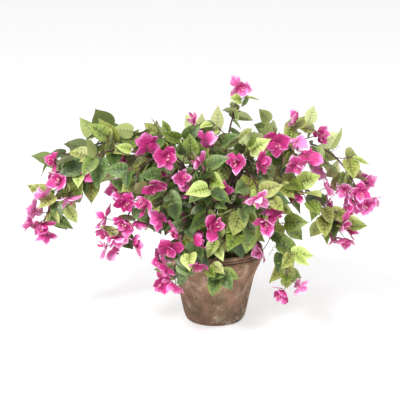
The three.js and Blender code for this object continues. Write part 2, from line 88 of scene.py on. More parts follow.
@dataclass(frozen=True)
class Wire:
    """A node's output, on which arithmetic adds Math nodes."""

    board: "Board"
    socket: bpy.types.NodeSocket

    def _math(self, operation: str, *values: "Wire | float") -> "Wire":
        """A Math node of that operation on the values."""
        return self.board.node("ShaderNodeMath", {"operation": operation}, dict(enumerate(values)))

    def __add__(self, other: "Wire | float") -> "Wire":
        """Sum."""
        return self._math("ADD", self, other)

    __radd__ = __add__

    def __sub__(self, other: "Wire | float") -> "Wire":
        """Difference."""
        return self._math("SUBTRACT", self, other)

    def __rsub__(self, other: float) -> "Wire":
        """Difference from a number."""
        return self._math("SUBTRACT", other, self)

    def __mul__(self, other: "Wire | float") -> "Wire":
        """Product."""
        return self._math("MULTIPLY", self, other)

    __rmul__ = __mul__

    def band(self, low: float, high: float) -> "Wire":
        """A smooth step.

        Args:
            low: The value up to which the step is 0.
            high: The value from which it is 1.

        Returns:
            The step.
        """
        settings = {"interpolation_type": "SMOOTHSTEP", "clamp": True}
        values = {"Value": self, "From Min": low, "From Max": high}
        return self.board.node("ShaderNodeMapRange", settings, values)


class Board:
    """The node board of one material, with its Principled shader ready."""

    def __init__(self, name: str) -> None:
        """An empty board.

        Args:
            name: The material's name.
        """
        self.material = bpy.data.materials.new(name)
        self.material.use_nodes = True
        self.tree = self.material.node_tree
        self.shader = self.tree.nodes["Principled BSDF"]

    def node(
        self, kind: str, settings: dict | None = None, values: dict | None = None, output: int | str = 0
    ) -> Wire:
        """Adds a node.

        Args:
            kind: The node's type.
            settings: Its own settings, set first; "stops" are a colour ramp's (position, colour) pairs.
            values: Numbers, colours or wires by the name or number of the input.
            output: The name or number of the output to return.

        Returns:
            The output as a wire.
        """
        made = self.tree.nodes.new(kind)
        for key, value in (settings or {}).items():
            if key == "stops":
                ramp = made.color_ramp
                while len(ramp.elements) < len(value):
                    ramp.elements.new(0.5)
                for element, (position, colour) in zip(ramp.elements, value):
                    element.position = position
                    element.color = (*colour, 1)
            else:
                setattr(made, key, value)
        for key, value in (values or {}).items():
            self.feed(made.inputs[key], value)
        return Wire(self, made.outputs[output])

    def feed(self, socket: bpy.types.NodeSocket, value: "Wire | float | Colour") -> None:
        """Links a wire to a socket, or sets its value.

        Args:
            socket: The node's input.
            value: The wire, or the number or colour that the input keeps.
        """
        if isinstance(value, Wire):
            self.tree.links.new(value.socket, socket)
        elif isinstance(value, tuple) and len(value) == 3 and socket.type == "RGBA":
            socket.default_value = (*value, 1)
        else:
            socket.default_value = value

    def place(self) -> Wire:
        """The point being shaded, in the object's own metres."""
        return self.node("ShaderNodeTexCoord", output="Object")

    def cloud(self, scale: float, detail: float = 3, roughness: float = 0.55, at: Wire | None = None) -> Wire:
        """Noise from 0 to 1, with so many features to a metre, read at the point itself or elsewhere."""
        values = {"Vector": at or self.place(), "Scale": scale, "Detail": detail, "Roughness": roughness}
        return self.node("ShaderNodeTexNoise", None, values)

    def stretched(self, x: float, y: float, z: float) -> Wire:
        """The point with its axes scaled, for patterns that run one way."""
        return self.node("ShaderNodeMapping", None, {"Vector": self.place(), "Scale": (x, y, z)})

    def blend(self, factor: "Wire | float", one: "Wire | Colour", other: "Wire | Colour") -> Wire:
        """A colour between two: one where the factor is 0, the other where it is 1."""
        return self.node("ShaderNodeMix", {"data_type": "RGBA"}, {0: factor, 6: one, 7: other}, output=2)

    def painted(self, name: str) -> Wire:
        """A number that the mesh carries at its points."""
        return self.node("ShaderNodeAttribute", {"attribute_name": name}, output="Fac")

    def bump(self, height: Wire, depth: float, strength: float = 1.0) -> Wire:
        """A normal that stands for relief of a height from 0 to 1 and a depth in metres."""
        values = {"Height": height, "Distance": depth, "Strength": strength}
        return self.node("ShaderNodeBump", None, values, "Normal")

    def dress(self, **sockets: "Wire | float | Colour") -> bpy.types.Material:
        """Feeds the shader.

        Args:
            sockets: What each of its inputs takes, by its name with underscores for spaces.

        Returns:
            The material.
        """
        for key, value in sockets.items():
            self.feed(self.shader.inputs[key.replace("_", " ")], value)
        return self.material


# ---------------------------------------------------------------- the growth rule


class Tone(Enum):
    """The greens that the leaves are printed in."""

    DEEP = "deep"
    SAGE = "sage"
    MID = "mid"
    OLIVE = "olive"
    LIME = "lime"


class Bloom(Enum):
    """The pinks that the bracts are dyed in."""

    MAGENTA = "magenta"
    ROSE = "rose"
    BLUSH = "blush"


class Mood(Enum):
    """The greens and the pinks that a spray takes, the commoner ones named more often."""

    SHADED = (
        (Tone.DEEP, Tone.SAGE, Tone.DEEP, Tone.SAGE, Tone.MID, Tone.DEEP, Tone.SAGE, Tone.LIME),
        (Bloom.MAGENTA, Bloom.ROSE, Bloom.MAGENTA),
    )
    MIXED = (
        (Tone.MID, Tone.SAGE, Tone.OLIVE, Tone.DEEP, Tone.MID, Tone.LIME, Tone.SAGE, Tone.OLIVE),
        (Bloom.ROSE, Bloom.MAGENTA, Bloom.BLUSH, Bloom.ROSE),
    )
    SUNLIT = (
        (Tone.MID, Tone.OLIVE, Tone.LIME, Tone.MID, Tone.OLIVE, Tone.LIME, Tone.DEEP),
        (Bloom.ROSE, Bloom.BLUSH, Bloom.ROSE, Bloom.BLUSH, Bloom.MAGENTA),
    )
    PALE = ((Tone.SAGE, Tone.LIME, Tone.MID, Tone.SAGE, Tone.LIME), (Bloom.BLUSH, Bloom.ROSE))

    def __init__(self, tones: tuple[Tone, ...], blooms: tuple[Bloom, ...]) -> None:
        """Names the two halves of the value."""
        self.tones = tones
        self.blooms = blooms


class Dice:
    """Numbers that look random and are the same on every run."""

    SEEDING = (7919, 17)  # factor and term that set seeds apart
    STEP = (1664525, 1013904223)  # factor and term from one state to the next
    STATES = 2**32
    WARM_UP = 4  # the first rolls, which are alike for seeds that are

    def __init__(self, seed: int) -> None:
        """Starts from a seed.

        Args:
            seed: Which numbers they are.
        """
        self.state = self.SEEDING[0] * seed + self.SEEDING[1]
        for _ in range(self.WARM_UP):
            self.roll()

    def roll(self) -> float:
        """The next number, from 0 up to 1."""
        self.state = (self.state * self.STEP[0] + self.STEP[1]) % self.STATES
        return self.state / self.STATES

    def between(self, low: float, high: float) -> float:
        """The next number, from low up to high."""
        return low + (high - low) * self.roll()

    def each(self, *limits: tuple[float, float]) -> list[float]:
        """The next numbers, one between each pair of limits."""
        return [self.between(low, high) for low, high in limits]

    def scatter(self) -> Point:
        """Three numbers from -1 up to 1."""
        return np.array([self.between(-1, 1) for _ in range(3)])

    def pick(self, options: tuple) -> Enum:
        """One of the options."""
        return options[int(self.roll() * len(options))]

    def fork(self) -> "Dice":
        """Other dice, for one leaf or head."""
        return Dice(int(self.roll() * 10000))


@dataclass(frozen=True)
class Bough:
    """One bough: where it leaves the stem, how it arches, and what its spray carries."""

    name: str
    tier: int  # which of the heights it leaves the stem at
    azimuth: float  # in degrees, from +X towards +Y
    reach: float  # of its tip from the stem's middle
    crest: float  # the height of its arch
    tip: float  # the height of its tip
    bare: float  # the share of its length before the first leaves
    leaf: float  # its leaves' size
    bloom: float  # how richly it blooms
    cluster: int  # how many heads its end carries
    seed: int
    mood: Mood


BOUGHS = (
    Bough("left_far", 1, 187, 272, 290, 174, 0.34, 1, 0.9, 3, 604, Mood.MIXED),
    Bough("left_upper", 2, 167, 262, 284, 236, 0.34, 1, 0.4, 1, 2, Mood.SHADED),
    Bough("left_low", 0, 212, 178, 240, 160, 0.26, 0.95, 0.9, 3, 635, Mood.MIXED),
    Bough("left_mid", 2, 204, 150, 281, 226, 0.22, 1, 0.6, 1, 426, Mood.MIXED),
    Bough("front_left", 0, 243, 138, 212, 117, 0.2, 0.9, 1, 3, 942, Mood.SHADED),
    Bough("front", 0, 270, 112, 203, 106, 0.3, 0.85, 0.3, 0, 379, Mood.MIXED),
    Bough("front_right", 0, 297, 112, 209, 178, 0.18, 1, 0.4, 0, 720, Mood.MIXED),
    Bough("right_low", 0, 322, 142, 189, 97, 0.3, 0.9, 0.4, 2, 482, Mood.SUNLIT),
    Bough("right_mid", 0, 350, 195, 240, 162, 0.28, 1, 0.7, 3, 460, Mood.SUNLIT),
    Bough("right_arch", 1, 3, 232, 293, 205, 0.34, 1, 0.8, 3, 185, Mood.SUNLIT),
    Bough("right_upper", 2, 24, 190, 285, 253, 0.32, 0.9, 0.3, 0, 11, Mood.SUNLIT),
    Bough("upright_right", 2, 345, 125, 303, 282, 0.22, 0.9, 0.5, 2, 115, Mood.SUNLIT),
    Bough("top", 3, 45, 50, 301, 366, 0.4, 0.65, 0.2, 1, 249, Mood.PALE),
    Bough("upright_left", 3, 180, 112, 300, 284, 0.22, 1, 0.4, 1, 764, Mood.MIXED),
    Bough("middle_left", 1, 230, 128, 265, 205, 0.18, 1, 0.8, 1, 976, Mood.SHADED),
    Bough("middle_front", 1, 262, 105, 257, 200, 0.16, 0.95, 1, 2, 470, Mood.SHADED),
    Bough("middle_right", 1, 308, 120, 265, 199, 0.18, 1, 1, 1, 17, Mood.MIXED),
    Bough("high_front", 3, 242, 80, 272, 245, 0.16, 0.95, 0.9, 1, 116, Mood.SHADED),
    Bough("high_right", 3, 318, 82, 275, 253, 0.16, 0.95, 1, 1, 19, Mood.SHADED),
    Bough("crown", 3, 115, 60, 292, 295, 0.18, 0.9, 0.3, 0, 299, Mood.MIXED),
    Bough("back_right", 1, 49, 185, 260, 195, 0.32, 1, 0.7, 2, 21, Mood.SUNLIT),
    Bough("back_low_right", 0, 68, 180, 225, 130, 0.32, 1, 0.7, 2, 22, Mood.MIXED),
    Bough("back", 2, 90, 185, 265, 200, 0.32, 1, 0.6, 2, 23, Mood.SUNLIT),
    Bough("back_low_left", 0, 114, 180, 230, 135, 0.32, 1, 0.7, 2, 24, Mood.MIXED),
    Bough("back_left", 1, 138, 195, 265, 190, 0.32, 1, 0.7, 2, 25, Mood.SUNLIT),
)


@dataclass(frozen=True)
class Round:
    """How one round of growth differs from the one that the solids have."""

    shift: float = 0.0  # of each twig along its stem, in spacings of twigs
    size: float = 1.0
    bloom: float = 1.0
    lavish: float = 1.0  # in place of bloom on the sprays that end in large clusters
    clear: float = 1.0  # the share of each clearance that is kept
    inner: int = 0  # how many more twigs grow down the bare part
    open_from: float = 1.0  # the share of an outer spray past which nothing more grows
    ball: float = 1.0  # the share of a head's ball that has to be free
    pot_clear: float = 4  # from the pot, below its rim
    tips: int = 0  # how many more leaves hang from each spray's end


ROUNDS = (
    Round(),
    Round(
        shift=-0.5,
        size=0.9,
        bloom=0.12,
        lavish=1.2,
        clear=0.55,
        inner=1,
        open_from=0.45,
        ball=0.8,
        pot_clear=45,
        tips=5,
    ),
)


@dataclass
class Leaf:
    """One leaf: its stalk's root, its blade's base and directions, and its print."""

    root: Point
    base: Point
    along: Point
    face: Point
    across: Point
    length: float
    width: float
    tone: Tone
    looks: Dice


@dataclass
class Head:
    """One head of bracts at the end of a twig."""

    axis: Point
    size: float
    spin: float
    bloom: Bloom
    looks: Dice


@dataclass
class Twig:
    """One side twig, with the head that it ends in if it blooms."""

    root: Point
    end: Point
    leaving: Point
    head: Head | None


@dataclass
class Shoot:
    """What the leaves of a new twig need to know of it."""

    run: Point
    end: Point
    direction: Point
    lateral: Point
    head: Head | None


class Spray:
    """One bough and the spray's stem that goes on from it: it rises, arches over and hangs."""

    STEPS = 14
    GAP = 0.3  # from the stem's bark to the bough's root
    TIERS = (124, 138, 151, 164)  # heights at which boughs leave the stem
    SWAY = 0.1  # of the curve to one side, as a share of the reach
    INSET = 4  # of the twigs' part from the start of the leafy part
    OUTSET = 10  # by how much it is the shorter
    PITCH = 30  # between twigs along the stem
    LOOKS = 5000  # added to the seed for the rolls that only looks depend on

    def __init__(self, index: int, row: Bough) -> None:
        """Lays the curve of one bough.

        Args:
            index: The spray's place in the list.
            row: The bough's sizes.
        """
        self.index = index
        self.row = row
        self.dice = Dice(row.seed)
        self.looks = Dice(row.seed + self.LOOKS)
        self.twigs: list[Twig] = []
        self.leaves: list[Leaf] = []
        turn = math.radians(row.azimuth)
        self.out = np.array([math.cos(turn), math.sin(turn), 0])
        self.side = np.array([-math.sin(turn), math.cos(turn), 0])
        foot = self.TIERS[row.tier]
        top = (row.crest - (foot + row.tip) / 8) / 0.75  # the handles' height that puts the crest there
        sway = self.dice.between(-self.SWAY, self.SWAY) * row.reach
        start = Stem.radius(foot) + self.GAP
        self.handles = [
            self.out * start + UP * foot,
            self.out * (start + row.reach / 4) + self.side * sway + UP * taper(foot, top, 0.9),
            self.out * row.reach * 0.75 + self.side * sway + UP * top,
            self.out * row.reach + UP * row.tip,
        ]
        self.points = self.curve(np.linspace(0, 1, self.STEPS + 1))
        steps = np.linalg.norm(np.diff(self.points, axis=0), axis=1)
        self.along = np.concatenate([[0], np.cumsum(steps)])
        self.length = float(self.along[-1])
        self.start = self.length * row.bare
        self.count = max(2, math.floor((self.length - self.start) / self.PITCH + 0.5))
        self.phase = 0.0

    def curve(self, shares: Point) -> Point:
        """Points of the smooth curve.

        Args:
            shares: Where they are, from 0 at its root to 1 at its end.

        Returns:
            The points.
        """
        t = shares[:, None]
        a, b, c, d = self.handles
        return (1 - t) ** 3 * a + 3 * (1 - t) ** 2 * t * b + 3 * (1 - t) * t * t * c + t**3 * d

    def at(self, length: float) -> tuple[Point, Point]:
        """A place on the stem.

        Args:
            length: How far it is from the bough's root.

        Returns:
            The point and the stem's direction there.
        """
        s = min(max(length, 0), self.length)
        k = min(int(np.searchsorted(self.along, s, side="right")) - 1, self.STEPS - 1)
        share = (s - self.along[k]) / (self.along[k + 1] - self.along[k])
        step = self.points[k + 1] - self.points[k]
        return self.points[k] + step * share, unit(step)

    def at_share(self, share: float) -> tuple[Point, Point]:
        """The point and direction at a share of the leafy part, kept off both its ends."""
        return self.at(self.start + self.INSET + (self.length - self.start - self.OUTSET) * share)

    def away(self, tangent: Point, turn: float) -> Point:
        """A direction square to a tangent, turned round it from level towards upward."""
        level = unit(np.cross(tangent, UP)) if abs(tangent[2]) < 0.98 else self.side
        return level * math.cos(turn) + np.cross(level, tangent) * math.sin(turn)


class Crown:
    """All the sprays as they grow, side by side."""

    ROOM = 40000  # how many balls can be marked as taken
    LIMB_CLEAR = 5.5  # from any point of a leaf, twig or head to another spray's stem
    KIN = 0.7  # the share of a clearance that is kept within one spray
    SLACK = 22  # how far a spray may reach past the middle between two stems
    LOWEST = 30
    POT_CLEAR = 4
    POT_TOP = 123
    HEEL = 48.9  # the pot's radius at its foot
    LIP = (78.6, 109)  # its rim's radius and height
    STEM_CLEAR = 14
    STEM_TOP = 172
    LARGE = 3  # the heads of a large cluster

    TRIES = 8  # the angles that a twig tries
    TRY_TURN = math.pi / 4
    TWIG_LENGTH = (28, 46)
    TWIG_FADE = (1.1, 0.35)  # their share of it at the stem's start, and what is lost by its end
    TWIG_LEAN = (0.8, 1.15)
    TWIG_HANG = 0.12
    TWIG_CHECKS = (0.3, 0.55, 0.78, 1)  # the shares of its length at which a twig is tested
    TWIG_CLEAR = 4.5
    BLOOMING = (0.35, 0.65)  # the share of twigs that bloom at the stem's start, and what its end adds

    LEAF_TRIES = 7
    LEAF_LENGTH = 48
    LEAF_WIDTH = (0.76, 0.88)  # as a share of its length
    LEAF_CLEAR = 5.8
    LEAF_FADE = (1.05, 0.25)  # the leaves' size on twigs, as for the twigs' length
    STEM_LEAF_FADE = (1, 0.3)
    OWN_STEM_CLEAR = 3
    STALK = 7.5
    SUNK = 0.8  # how deep a last leaf is rooted in the end of its twig
    FOLD = 0.14
    DROOP = 0.12
    CENTRE = 20  # leaves further behind the stem than this face the back, and near it they face less outward
    # Where a blade is tested: rows of (share of its length, shares of its width).
    BLADE_ROWS = (
        (0.08, (0,)),
        (0.24, (-0.38, -0.19, 0, 0.19, 0.38)),
        (0.45, (-0.48, -0.24, 0, 0.24, 0.48)),
        (0.66, (-0.34, -0.12, 0.12, 0.34)),
        (0.84, (-0.14, 0.14)),
        (1, (0,)),
    )

    HEAD_RADIUS = 13.8
    HEAD_LIFT = 4
    HEAD_CLEAR = 2
    HEAD_SIZE = (0.85, 1.1)
    CROWD = 26  # between the middles of two heads of one spray

    def __init__(self) -> None:
        """Grows every spray, round by round."""
        self.sprays = [Spray(index, row) for index, row in enumerate(BOUGHS)]
        lines = np.array([spray.points for spray in self.sprays])
        self.starts = lines[:, :-1]
        self.steps = np.diff(lines, axis=1)
        self.squares = (self.steps**2).sum(axis=2)
        self.bare = np.array([spray.along[1:] <= spray.start for spray in self.sprays])
        self.balls = np.zeros((self.ROOM, 3))
        self.radii = np.zeros(self.ROOM)
        self.owners = np.full(self.ROOM, -1)
        self.taken = 0
        self.round = ROUNDS[0]
        checks = [(u, w) for u, widths in self.BLADE_ROWS for w in widths]
        self.blade = np.array([(u, w, self.FOLD * abs(w) - self.DROOP * u * u) for u, w in checks])
        for spray in self.sprays:
            self.close(spray)
        for spray in self.sprays:
            spray.phase = spray.dice.between(*ANY_TURN)
        for self.round in ROUNDS:
            self.grow()

    def grow(self) -> None:
        """Every spray takes its turn, from its tip inwards: twigs and blossom first, then leaves."""
        for spray in self.sprays:
            self.fringe(spray)
        most = max(spray.count for spray in self.sprays) + self.round.inner
        turns = [(spray, spray.count - 1 - turn) for turn in range(most) for spray in self.sprays]
        turns = [(spray, k) for spray, k in turns if self.grows(spray, k)]
        shoots = [self.shoot(spray, k) for spray, k in turns]
        for (spray, k), shoot in zip(turns, shoots):
            self.dress(spray, k, shoot)

    def grows(self, spray: Spray, k: int) -> bool:
        """True where this round has a twig: the sunlit sprays stay open towards their ends."""
        outer = spray.row.mood in (Mood.SUNLIT, Mood.PALE) and k / spray.count > self.round.open_from
        return k >= -self.round.inner and not outer

    def gaps(self, points: Point) -> tuple[Point, Point]:
        """How far points are from every spray's stem.

        Args:
            points: Rows of points.

        Returns:
            A row for each point: the gap to each whole stem, and to each one's leafy part.
        """
        offset = points[:, None, None] - self.starts
        along = np.clip((offset * self.steps).sum(axis=3) / self.squares, 0, 1)
        square = ((offset - self.steps * along[..., None]) ** 2).sum(axis=3)
        leafy = np.where(self.bare, np.inf, square)
        return np.sqrt(square.min(axis=2)), np.sqrt(leafy.min(axis=2))

    def owns(self, spray: Spray, points: Point) -> bool:
        """Whether points lie in a spray's own space, off other stems, the pot and the floor.

        Args:
            spray: The spray.
            points: Rows of points.

        Returns:
            True if all of them do.
        """
        whole, leafy = self.gaps(points)
        own = whole[:, spray.index].copy()
        whole[:, spray.index] = np.inf
        leafy[:, spray.index] = np.inf
        if whole.min() < self.LIMB_CLEAR * self.round.clear:
            return False
        if (own > leafy.min(axis=1) + self.SLACK).any():
            return False
        radius = np.hypot(points[:, 0], points[:, 1])
        z = points[:, 2]
        pot = taper(self.HEEL, self.LIP[0], np.minimum(z, self.LIP[1]) / self.LIP[1])
        in_pot = (z < self.POT_TOP + self.POT_CLEAR) & (radius < pot + self.round.pot_clear)
        in_stem = (z < self.STEM_TOP + self.POT_CLEAR) & (radius < self.STEM_CLEAR)
        return not (in_pot | in_stem | (z < self.LOWEST)).any()

    def free(self, spray: Spray, points: Point, radius: float, clear: float) -> bool:
        """Whether balls round points keep clear of all that is there already.

        What grows on the same spray may come closer, and two of its heads may crowd each other.

        Args:
            spray: The spray that they would grow on.
            points: The balls' middles.
            radius: Their radius.
            clear: The clearance between them and what is there.

        Returns:
            True if there is room.
        """
        reach = radius + clear + self.CROWD + float(np.abs(points - points[0]).sum(axis=1).max())
        near = (np.abs(self.balls[: self.taken] - points[0]) < reach).all(axis=1)
        balls = self.balls[: self.taken][near]
        radii = self.radii[: self.taken][near]
        kin = self.owners[: self.taken][near] == spray.index
        least = radius + radii + clear * self.round.clear * np.where(kin, self.KIN, 1)
        if radius > 0:
            least = np.where(kin & (radii > 0), self.CROWD, least)
        square = ((points[:, None] - balls) ** 2).sum(axis=2)
        return not (square <= least**2).any()

    def take(self, spray: Spray, points: Point, radius: float = 0) -> None:
        """Marks balls as taken.

        Args:
            spray: The spray that takes them.
            points: The balls' middles.
            radius: Their radius.
        """
        last = self.taken + len(points)
        self.balls[self.taken : last] = points
        self.radii[self.taken : last] = radius
        self.owners[self.taken : last] = spray.index
        self.taken = last

    def shoot(self, spray: Spray, k: int) -> Shoot | None:
        """One twig off the stem, turned until it fits, with its head of bracts if it blooms.

        Args:
            spray: The spray that it grows on.
            k: Its place along the stem.

        Returns:
            What its leaves need to know of it, or None if there is no room for it.
        """
        dice = spray.dice
        place = k + self.round.shift
        share = (place + 0.5) / spray.count
        root, tangent = spray.at_share(share)
        lavish = self.round.bloom if spray.row.cluster < self.LARGE else self.round.lavish
        blooms = dice.roll() < spray.row.bloom * (self.BLOOMING[0] + self.BLOOMING[1] * share) * lavish
        fade = self.TWIG_FADE[0] - self.TWIG_FADE[1] * share
        length = dice.between(*self.TWIG_LENGTH) * fade * self.round.size
        lean = dice.between(*self.TWIG_LEAN)
        for attempt in range(self.TRIES):
            away = spray.away(tangent, spray.phase + place * GOLDEN_ANGLE + attempt * self.TRY_TURN)
            direction = unit(tangent * math.cos(lean) + away * math.sin(lean) - UP * self.TWIG_HANG)
            end = root + direction * length
            run = np.array([root + (end - root) * s for s in self.TWIG_CHECKS])
            if not self.owns(spray, run) or not self.free(spray, run[1:], 0, self.TWIG_CLEAR):
                continue
            head = None
            if blooms:
                head = self.head(spray, end, direction, dice.between(*self.HEAD_SIZE))
                if head is None and attempt < self.TRIES - 1:
                    continue
            spray.twigs.append(Twig(root, end, tangent, head))
            self.take(spray, run)
            return Shoot(run, end, direction, unit(np.cross(direction, tangent)), head)
        return None

    def dress(self, spray: Spray, k: int, shoot: Shoot | None) -> None:
        """The leaves of one twig, and one leaf straight on the stem across from it.

        Args:
            spray: The spray that they grow on.
            k: The twig's place along the stem.
            shoot: The twig, if there was room for it.
        """
        dice = spray.dice
        place = k + self.round.shift
        share = (place + 0.5) / spray.count
        size = self.LEAF_FADE[0] - self.LEAF_FADE[1] * share
        if shoot:
            onward, lateral = shoot.direction, shoot.lateral
            if shoot.head is None:
                last = shoot.end - onward * self.SUNK
                self.leaf(spray, last, onward, lateral * 0.2, size * dice.between(0.65, 0.9))
            self.leaf(spray, shoot.run[1], onward, lateral, size * dice.between(0.85, 1.1))
            self.leaf(spray, shoot.run[2], onward, -lateral, size * dice.between(0.75, 1.05))
        root, tangent = spray.at_share(share + 0.5 / spray.count)
        away = spray.away(tangent, spray.phase + place * GOLDEN_ANGLE + math.pi)
        size = self.STEM_LEAF_FADE[0] - self.STEM_LEAF_FADE[1] * share
        self.leaf(spray, root, tangent, away, size * dice.between(0.8, 1.1))

    def close(self, spray: Spray) -> None:
        """The end of a spray: a cluster of heads, or a last leaf, with two leaves behind.

        Args:
            spray: The spray.
        """
        dice = spray.dice
        end, tangent = spray.at(spray.length)
        spread, reach = (1, 23) if spray.row.cluster > 1 else (0.2, 10)
        for k in range(spray.row.cluster):
            away = spray.away(tangent, k * THIRD + dice.between(-0.4, 0.4))
            direction = unit(tangent + away * spread)
            self.bloom(spray, end - tangent * 2, tangent, end + direction * reach, direction, (0.9, 1.1))
        if not spray.row.cluster:
            lateral = spray.away(tangent, 0) * 0.1
            self.leaf(spray, end - tangent * self.SUNK, tangent, lateral, dice.between(0.6, 0.8))
        for k in range(2):
            root, onward = spray.at(spray.length - 5 - 8 * k)
            away = spray.away(onward, k * math.pi + 1 + dice.between(-0.5, 0.5))
            self.leaf(spray, root, onward, away, dice.between(0.55, 0.8))

    def fringe(self, spray: Spray) -> None:
        """The smaller leaves that hang round a spray's end, and more heads behind a large cluster.

        Args:
            spray: The spray.
        """
        heads = spray.row.cluster + 1 if self.round.tips and spray.row.cluster >= self.LARGE else 0
        for k in range(heads):
            root, onward = spray.at(spray.length - 14 - 9 * k)
            for attempt in range(self.LEAF_TRIES):
                turn = (k + 0.5 + 0.4 * attempt) * THIRD
                away = spray.away(onward, turn + spray.dice.between(-0.4, 0.4))
                direction = unit(onward * 0.35 + away)
                centre = root + direction * (22 + 3 * attempt)
                if self.bloom(spray, root, onward, centre, direction, (0.85, 1.05)):
                    break
        for k in range(self.round.tips):
            root, onward = spray.at(spray.length - 8 - 9 * k)
            away = spray.away(onward, k * math.pi + spray.dice.between(-0.6, 0.6))
            self.leaf(spray, root, onward * 0.4 - UP, away, spray.dice.between(0.65, 1.0))

    def leaf(self, spray: Spray, root: Point, direction: Point, lateral: Point, share: float) -> None:
        """One stalked leaf, tried at several angles, its blade facing up and away from the middle.

        Args:
            spray: The spray that it grows on.
            root: Where its stalk leaves the twig.
            direction: The twig's direction there.
            lateral: The side that it leaves towards.
            share: Its size, as a share of the longest leaf.
        """
        dice = spray.dice
        size = share * spray.row.leaf * self.round.size
        length = self.LEAF_LENGTH * size
        width = length * dice.between(*self.LEAF_WIDTH)
        dice.roll()  # the solids' tint
        radius = math.hypot(root[0], root[1]) + self.CENTRE
        radial = np.array([root[0] / radius, root[1] / radius, 0])
        broad = np.array([0, 0.75 * min(max((root[1] - self.CENTRE) / 40, -1), 1), 0])
        for attempt in range(self.LEAF_TRIES):
            chance = dice.scatter()
            along = direction * 0.55 + lateral * (0.8 + 0.12 * attempt) - UP * 0.35
            along = unit(along + chance * (0.25 + 0.1 * attempt))
            face = radial * 0.45 + broad + UP * 0.4 + lateral * 0.2 + np.roll(chance, -1) * 0.5
            face = face - along * float(face @ along)
            if float(face @ face) < 0.04:  # too near the blade's own direction to be turned square to it
                continue
            face = unit(face)
            across = np.cross(face, along)
            base = root + along * self.STALK * size
            u, w, lift = self.blade.T[:, :, None]
            points = base + along * length * u + across * width * w + face * length * lift
            if not self.owns(spray, points):
                continue
            if self.gaps(points[1:])[0][:, spray.index].min() < self.OWN_STEM_CLEAR * self.round.clear:
                continue
            if not self.free(spray, points, 0, self.LEAF_CLEAR):
                continue
            self.take(spray, points)
            tone = spray.looks.pick(spray.row.mood.tones)
            looks = spray.looks.fork()
            spray.leaves.append(Leaf(root, base, along, face, across, length, width, tone, looks))
            return

    def head(self, spray: Spray, centre: Point, axis: Point, size: float) -> Head | None:
        """One head of bracts, kept if a ball round it is free.

        Args:
            spray: The spray that it grows on.
            centre: Its middle.
            axis: The way that it faces.
            size: Its size, as a share of the usual.

        Returns:
            The head, or None if there is no room for it.
        """
        spin = spray.dice.between(*ANY_TURN)
        spray.dice.roll()  # the solids' tint
        middle = centre + axis * self.HEAD_LIFT
        radius = self.HEAD_RADIUS * size * self.round.ball
        points = middle + radius * np.concatenate([np.zeros((1, 3)), np.eye(3), -np.eye(3)])
        if not self.owns(spray, points) or not self.free(spray, points[:1], radius, self.HEAD_CLEAR):
            return None
        self.take(spray, points[:1], radius)
        bloom = spray.looks.pick(spray.row.mood.blooms)
        return Head(axis, size, spin, bloom, spray.looks.fork())

    def bloom(
        self, spray: Spray, root: Point, leaving: Point, centre: Point, axis: Point, sizes: tuple
    ) -> bool:
        """One head at the end of a twig of its own.

        Args:
            spray: The spray that it grows on.
            root: Where the twig is rooted.
            leaving: The stem's direction there.
            centre: Where the twig ends.
            axis: The way that the head faces.
            sizes: The least and the greatest size that it may have.

        Returns:
            True if there was room for it.
        """
        head = self.head(spray, centre, axis, spray.dice.between(*sizes))
        if head:
            spray.twigs.append(Twig(root, centre, leaving, head))
        return head is not None


# ---------------------------------------------------------------- meshes


def square_to(axis: Point, other: Point) -> tuple[Point, Point]:
    """Two directions square to an axis and to each other, the first square to the other too."""
    level = unit(np.cross(other, axis))
    return level, np.cross(axis, level)


def circle(centre: Point, turns: Point, reach: "Point | float", level: Point, beside: Point) -> Point:
    """Points round a centre, each at its turn and reach between two directions."""
    return centre + np.outer(np.cos(turns) * reach, level) + np.outer(np.sin(turns) * reach, beside)


def skin(rings: int, sides: int) -> list[Point]:
    """The faces of a tube whose points come ring by ring, and then the middles of its two ends.

    Args:
        rings: How many rings it has.
        sides: How many points there are to a ring.

    Returns:
        The faces of its wall, of its first end and of its last.
    """
    start = np.arange(sides)
    after = (start + 1) % sides
    last = (rings - 1) * sides
    quads = [np.stack([start, after, after + sides, start + sides], 1) + k * sides for k in range(rings - 1)]
    first = np.stack([np.full(sides, rings * sides), after, start], 1)
    final = np.stack([np.full(sides, rings * sides + 1), start + last, after + last], 1)
    return [np.concatenate(quads), first, final]


def turned(profile: list, sides: int) -> tuple[Point, list[Point]]:
    """A turned surface about Z, closed on its axis at both ends.

    Args:
        profile: Its points, (radius, height), the first and last of them on the axis.
        sides: How many sides it has.

    Returns:
        The points and the faces.
    """
    turns = FULL_TURN * np.arange(sides) / sides
    rings = [np.stack([r * np.cos(turns), r * np.sin(turns), np.full(sides, z)], 1) for r, z in profile[1:-1]]
    ends = np.array([[0, 0, profile[0][1]], [0, 0, profile[-1][1]]])
    return np.concatenate([*rings, ends]), skin(len(rings), sides)


def rumple(points: Point, pitch: float, seed: float) -> Point:
    """Smooth noise from -1 to 1 at each point, with bumps a pitch apart, and other noise for another seed."""
    return np.array([noise.noise(Vector(p / pitch) + Vector((seed, 0, 0))) for p in points])


def swollen(points: Point, swell: Point) -> Point:
    """Points moved outward from the Z axis, each by its own swell."""
    radius = np.maximum(np.hypot(points[:, 0], points[:, 1]), 1)
    return points + points * [1, 1, 0] / radius[:, None] * swell[:, None]


